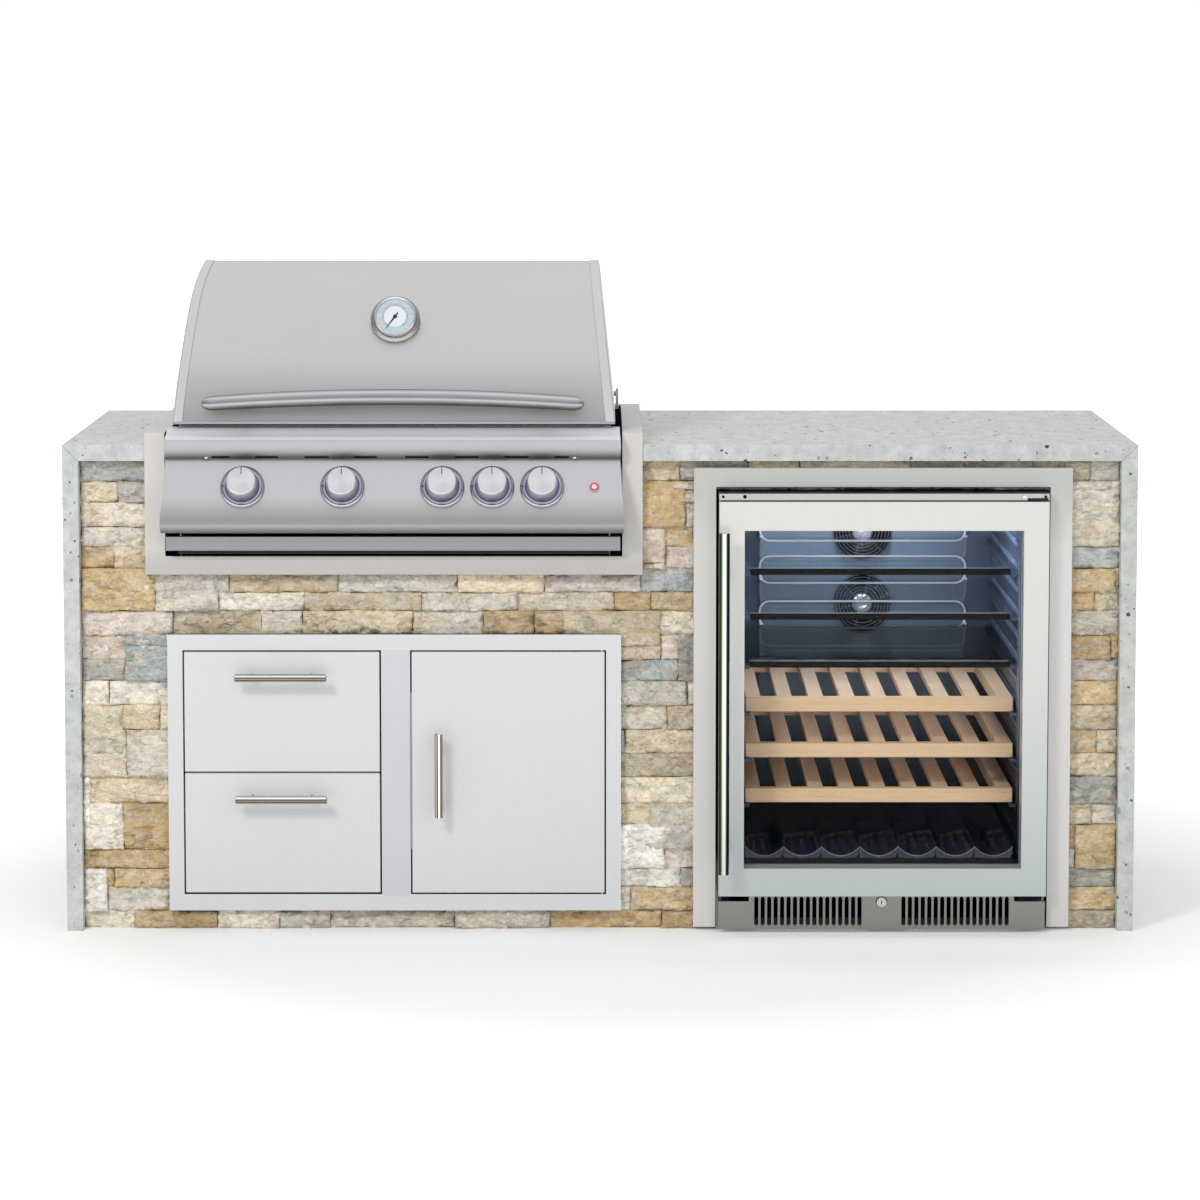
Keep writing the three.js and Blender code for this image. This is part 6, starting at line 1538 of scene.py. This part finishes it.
# Bottle tray: a black moulded sheet with seven hollows on the floor of the cabinet.
# Its front rim carries a thin pale tube, a painted highlight; the compressor stands in the plinth below.
SCALLOPS = 7
SCALLOP_STEPS = 14
BASE, CREST_RISE = 0.008, 0.026
END_SLOPE, END_DROP = 0.004, 0.003
RIM_WIRE = 0.0009
RIM_SHIFT = Vector((0, 0.0008, 0.0002))
COMPRESSOR_EDGE = 0.0015
tray_black = plain_finish("tray_black", "0f1a30", 0.12, shine=0.8)
tray_rim_highlight = plain_finish("tray_rim_highlight", "8698a8", 0.25)
low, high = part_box("bottle_tray")
tray_shape = bmesh.new()
rows = []
for y in (low.y, low.y + END_SLOPE, high.y - END_SLOPE, high.y):
    row = []
    for step in range(SCALLOPS * SCALLOP_STEPS + 1):
        share = step / SCALLOP_STEPS
        rise = CREST_RISE - (CREST_RISE - BASE) * abs(math.sin(math.pi * share)) ** 0.8
        drop = END_DROP if y in (low.y, high.y) else 0.0
        x = low.x + (high.x - low.x) * step / (SCALLOPS * SCALLOP_STEPS)
        row.append(tray_shape.verts.new((x, y, low.z + rise - drop)))
    rows.append(row)
rim = bmesh.new()
tube(rim, [vertex.co + RIM_SHIFT for vertex in rows[0]], RIM_WIRE, 8)
fit("bottle_tray_rim", rim, tray_rim_highlight, "island")
rows.insert(0, [tray_shape.verts.new((vertex.co.x, low.y, low.z)) for vertex in rows[0]])
rows.append([tray_shape.verts.new((vertex.co.x, high.y, low.z)) for vertex in rows[-1]])
sheet(tray_shape, rows)
bmesh.ops.recalc_face_normals(tray_shape, faces=tray_shape.faces)
fit("bottle_tray_finished", tray_shape, tray_black, "island", ["bottle_tray"],
    smooth_degrees=60)
softened("compressor", black_space, "island", COMPRESSOR_EDGE)

# Refrigerator door: four folded stainless rails round a clear double pane, with a black gasket behind.
# The rails are brushed along their length and painted paler on top, darker towards the floor; the long handle
# is a polished tube on two posts with painted reflections.
DOOR_EDGE = 0.0022
GASKET_EDGE = 0.0012
pane_low, pane_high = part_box("fridge_door_glass")


def door_finish(name, stretch):
    """Brushed steel of the door, painted warm and pale at the top and darker and cooler towards the floor:
    painted light and shade.
    """
    material, tree, surface, place = new_finish(name, Metallic=0.35)
    grain = use_effect(tree, brushed_grain, {"Vector": place, "Stretch": stretch, "Depth": 0.07})
    height = add_node(tree, "SeparateXYZ", {"Vector": place}).outputs["Z"]
    colour = mix_colour(tree, share_of(tree, height, 0.72, 0.12), tone("dad8d4"), tone("c0c8c7"))
    lines = math_node(tree, "MULTIPLY_ADD", grain["Shade"], 0.08, 0.96)
    rough = math_node(tree, "MULTIPLY_ADD", grain["Shade"], 0.12, 0.28)
    link_up(tree, surface.inputs, Base_Color=shaded(tree, colour, lines), Roughness=rough,
            Normal=grain["Normal"])
    return material


door_steel_painted_shade = door_finish("door_steel_painted_shade", ALONG_Z)
softened("fridge_door_frame", door_steel_painted_shade, "fridge_door", DOOR_EDGE, 3)
door_glass = clear_finish("door_glass", "151c22", 0.03, 0.1)
plate("fridge_door_pane", list(zip(pane_low, pane_high)), door_glass, "fridge_door",
      ["fridge_door_glass"], 0.0008)
softened("fridge_door_gasket", shelf_edge, "fridge_door", GASKET_EDGE)
low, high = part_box("fridge_door_handle")
LONG_POST_INSET = 0.068
LONG_POST_RADIUS = 0.007
tube_radius = (high.x - low.x) / 2
long_handle = bmesh.new()
tube_x, tube_y = (low.x + high.x) / 2, low.y + tube_radius
domed_rod(long_handle, (tube_x, tube_y, low.z), (tube_x, tube_y, high.z), tube_radius, 48, 0.2)
for z in (low.z + LONG_POST_INSET, high.z - LONG_POST_INSET):
    tube(long_handle, [(tube_x, tube_y, z), (tube_x, high.y, z)], LONG_POST_RADIUS, 24)
# The tube's dark edges and bright centre are painted reflections, set by which way the surface faces.
handle_tube_steel = painted_reflection_finish("handle_tube_steel", "X", (
    (0.0, "222c20"), (0.20, "303b2b"), (0.29, "8d9a83"), (0.36, "cfd5c7"), (0.44, "e4e7dc"),
    (0.58, "e0e3da"), (0.66, "a6aca4"), (0.71, "20262c"), (0.89, "0b0e12"), (0.94, "36506e"),
    (0.98, "d6d9da"), (1.0, "b9bcbc")))
fit("fridge_door_handle_finished", long_handle, handle_tube_steel, "fridge_door",
    ["fridge_door_handle"], smooth_degrees=40)

# Cap strip fittings: the upper hinge arm with its screw at the right, spare holes at the left.
# They sit on the steel strip that caps the cabinet, above the door.
HINGE_ARM_LEVELS = (0.8135, 0.8178)
HINGE_ARM_ENDS = (0.040, 0.002)
HINGE_ARM_SHEET, HINGE_ARM_SEAT = 0.0016, 0.01
STUD_LEVEL = 0.8205
strip_face = cabinet_low.y
plate("upper_hinge_arm", (
    (door_high.x - HINGE_ARM_ENDS[0], door_high.x - HINGE_ARM_ENDS[1]),
    (strip_face - HINGE_ARM_SHEET, strip_face + HINGE_ARM_SEAT), HINGE_ARM_LEVELS),
    dark_gap, "island", bevel=0.0008)
for index, (x, radius, material) in enumerate((
        (door_low.x + 0.007, 0.0026, shelf_edge), (door_low.x + 0.047, 0.0034, shelf_edge),
        (door_high.x - 0.046, 0.0036, gauge_steel), (door_high.x - 0.007, 0.0026, shelf_edge))):
    spot = tipped((x, strip_face, STUD_LEVEL))
    stud = turned([(radius, -0.0004), (radius, 0.0006), (0.6 * radius, 0.0012), (0, 0.0013)], 24, spot)
    fit("cap_strip_stud_%d" % (index + 1), stud, material, "island")

# Toe grille and lock: a brushed plate with a row of upright slots on each side of a round lock.
# The lock is a polished cylinder with a turned rim and a dark key slot.
TOE_EDGE = 0.0006
toe_steel = steel_finish("toe_steel", "92968f", 0.34, ALONG_X, 0.08, 0.08)
softened("toe_grille", toe_steel, "island", TOE_EDGE)
lock_low, lock_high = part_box("door_lock")
lock_radius = (lock_high.x - lock_low.x) / 2
lock_place = tipped((fridge_x, lock_low.y, lock_high.z - lock_radius))
barrel = turned(
    [(0, -0.028), (0.0096, -0.028), (0.0100, -0.0042), (0.0098, -0.0012), (0.0088, 0.0),
     (0.0072, -0.0003), (0.0066, -0.0014), (0.0060, -0.0014), (0.0054, -0.0002), (0.0022, -0.0002),
     (0.0020, -0.004), (0, -0.004)], 64, lock_place)
fit("door_lock_finished", barrel, gauge_steel, "door_lock", ["door_lock"])
KEY_SLOT_HALF = (0.0006, 0.0042)
lock_z = lock_high.z - lock_radius
plate("door_lock_key_slot", (
    (fridge_x - KEY_SLOT_HALF[0], fridge_x + KEY_SLOT_HALF[0]), (lock_low.y - 0.0002, lock_low.y + 0.001),
    (lock_z - KEY_SLOT_HALF[1], lock_z + KEY_SLOT_HALF[1])), shelf_edge, "door_lock",
    bevel=0.0002)

# Floor: a plain pale studio floor that fades into a white surround and keeps the island's shadow.
# It glows more the further away it is, as seen by the camera, in mirrors and through glass.
FLOOR_HALF = 40.0
FLOOR_LIFT = 0.15
LIFT_START, LIFT_END = 0.9, 2.8


def floor_finish():
    material, tree, surface, place = new_finish("studio_floor", Roughness=0.9)
    surface.inputs["Base Color"].default_value = tone("f2f2f1")
    paths = add_node(tree, "LightPath").outputs
    seen = math_node(tree, "MAXIMUM", paths["Is Camera Ray"], paths["Is Glossy Ray"])
    seen = math_node(tree, "MAXIMUM", seen, paths["Is Transmission Ray"])
    away = add_node(tree, "VectorMath", {0: place}, operation="LENGTH").outputs["Value"]
    lift = math_node(tree, "MULTIPLY", seen, share_of(tree, away, LIFT_START, LIFT_END, FLOOR_LIFT))
    glow = add_node(tree, "CombineColor", {"Red": lift, "Green": lift, "Blue": lift}).outputs[0]
    link_up(tree, surface.inputs, Emission_Color=glow)
    surface.inputs["Emission Strength"].default_value = 1.0
    return material


floor_shape = bmesh.new()
floor_shape.faces.new([floor_shape.verts.new(corner) for corner in (
    (-FLOOR_HALF, -FLOOR_HALF, 0), (FLOOR_HALF, -FLOOR_HALF, 0), (FLOOR_HALF, FLOOR_HALF, 0),
    (-FLOOR_HALF, FLOOR_HALF, 0))])
floor_mesh = bpy.data.meshes.new("studio_floor")
floor_shape.to_mesh(floor_mesh)
floor_shape.free()
floor = bpy.data.objects.new("studio_floor", floor_mesh)
floor_mesh.materials.append(floor_finish())
scene.collection.objects.link(floor)

# Light: a bright even surround, a wide soft key from the front left and a weak one from the right.
# Metal sees the surround darken towards the sides and the horizon, which shapes the bars and the hood.
AMBIENT = 0.54
world = bpy.data.worlds.new("studio")
scene.world = world
world.use_nodes = True
tree = world.node_tree
background = tree.nodes["Background"]
paths = add_node(tree, "LightPath").outputs
direction = add_node(tree, "SeparateXYZ", {"Vector": add_node(tree, "TexCoord").outputs["Generated"]}).outputs
sideways = math_node(tree, "POWER", math_node(tree, "ABSOLUTE", direction["X"]), 2.0)
upwards = share_of(tree, direction["Z"], -0.1, 0.7, 0.78, 1.02)
room = math_node(tree, "MULTIPLY", upwards, math_node(tree, "MULTIPLY_ADD", sideways, -0.55, 1.0))
plain = math_node(tree, "MAXIMUM", paths["Is Camera Ray"], paths["Is Transmission Ray"])
away = math_node(tree, "MULTIPLY_ADD", paths["Is Glossy Ray"], -AMBIENT, AMBIENT)
lit = math_node(tree, "MULTIPLY_ADD", paths["Is Glossy Ray"], room, away)
strength = math_node(tree, "MAXIMUM", plain, lit)
link_up(tree, background.inputs, Strength=strength)
background.inputs["Color"].default_value = (1, 1, 1, 1)


def soft_lamp(name, place, target, size, watts, colour="ffffff", in_mirrors=False):
    lamp = bpy.data.lights.new(name, "AREA")
    lamp.shape = "RECTANGLE"
    lamp.size, lamp.size_y = size
    lamp.energy = watts
    lamp.color = tone(colour)[:3]
    holder = bpy.data.objects.new(name, lamp)
    holder.location = place
    holder.rotation_euler = (Vector(target) - Vector(place)).to_track_quat("-Z", "Y").to_euler()
    holder.visible_glossy = in_mirrors
    scene.collection.objects.link(holder)


soft_lamp("key_lamp", (-2.2, -4.2, 3.6), (0, 0, 0.5), (1.0, 0.8), 105)
soft_lamp("fill_lamp", (2.8, -4.0, 2.4), (0.3, 0, 0.5), (2.4, 2.0), 25)
soft_lamp("top_lamp", (0.0, 0.6, 4.0), (0, 0, 0.9), (3.2, 2.0), 14)
soft_lamp("cabinet_lamp", (fridge_x, cavity_front + 0.10, cavity_top - 0.012),
          (fridge_x, cavity_rear - 0.06, 0.30), (0.44, 0.05), 2.8, "e4ebfa", True)

# Camera: straight in front of the island, at the height of a standing person's eyes, looking slightly down.
# The lens is long, so uprights stay nearly parallel; the shift sets the island's height in the picture.
EYE = Vector((0.0, -7.5034, 1.6455))
AIM_DOWN_DEGREES = 5.0
VIEW_SHIFT = -0.1747
LENS = 117.26
camera = bpy.data.cameras.new("camera")
camera.sensor_width = 36.0
camera.lens = LENS
camera.shift_y = VIEW_SHIFT
camera_holder = bpy.data.objects.new("camera", camera)
camera_holder.location = EYE
camera_holder.rotation_euler = (math.radians(90 - AIM_DOWN_DEGREES), 0, 0)
scene.collection.objects.link(camera_holder)
scene.camera = camera_holder
scene.view_settings.view_transform = "Standard"
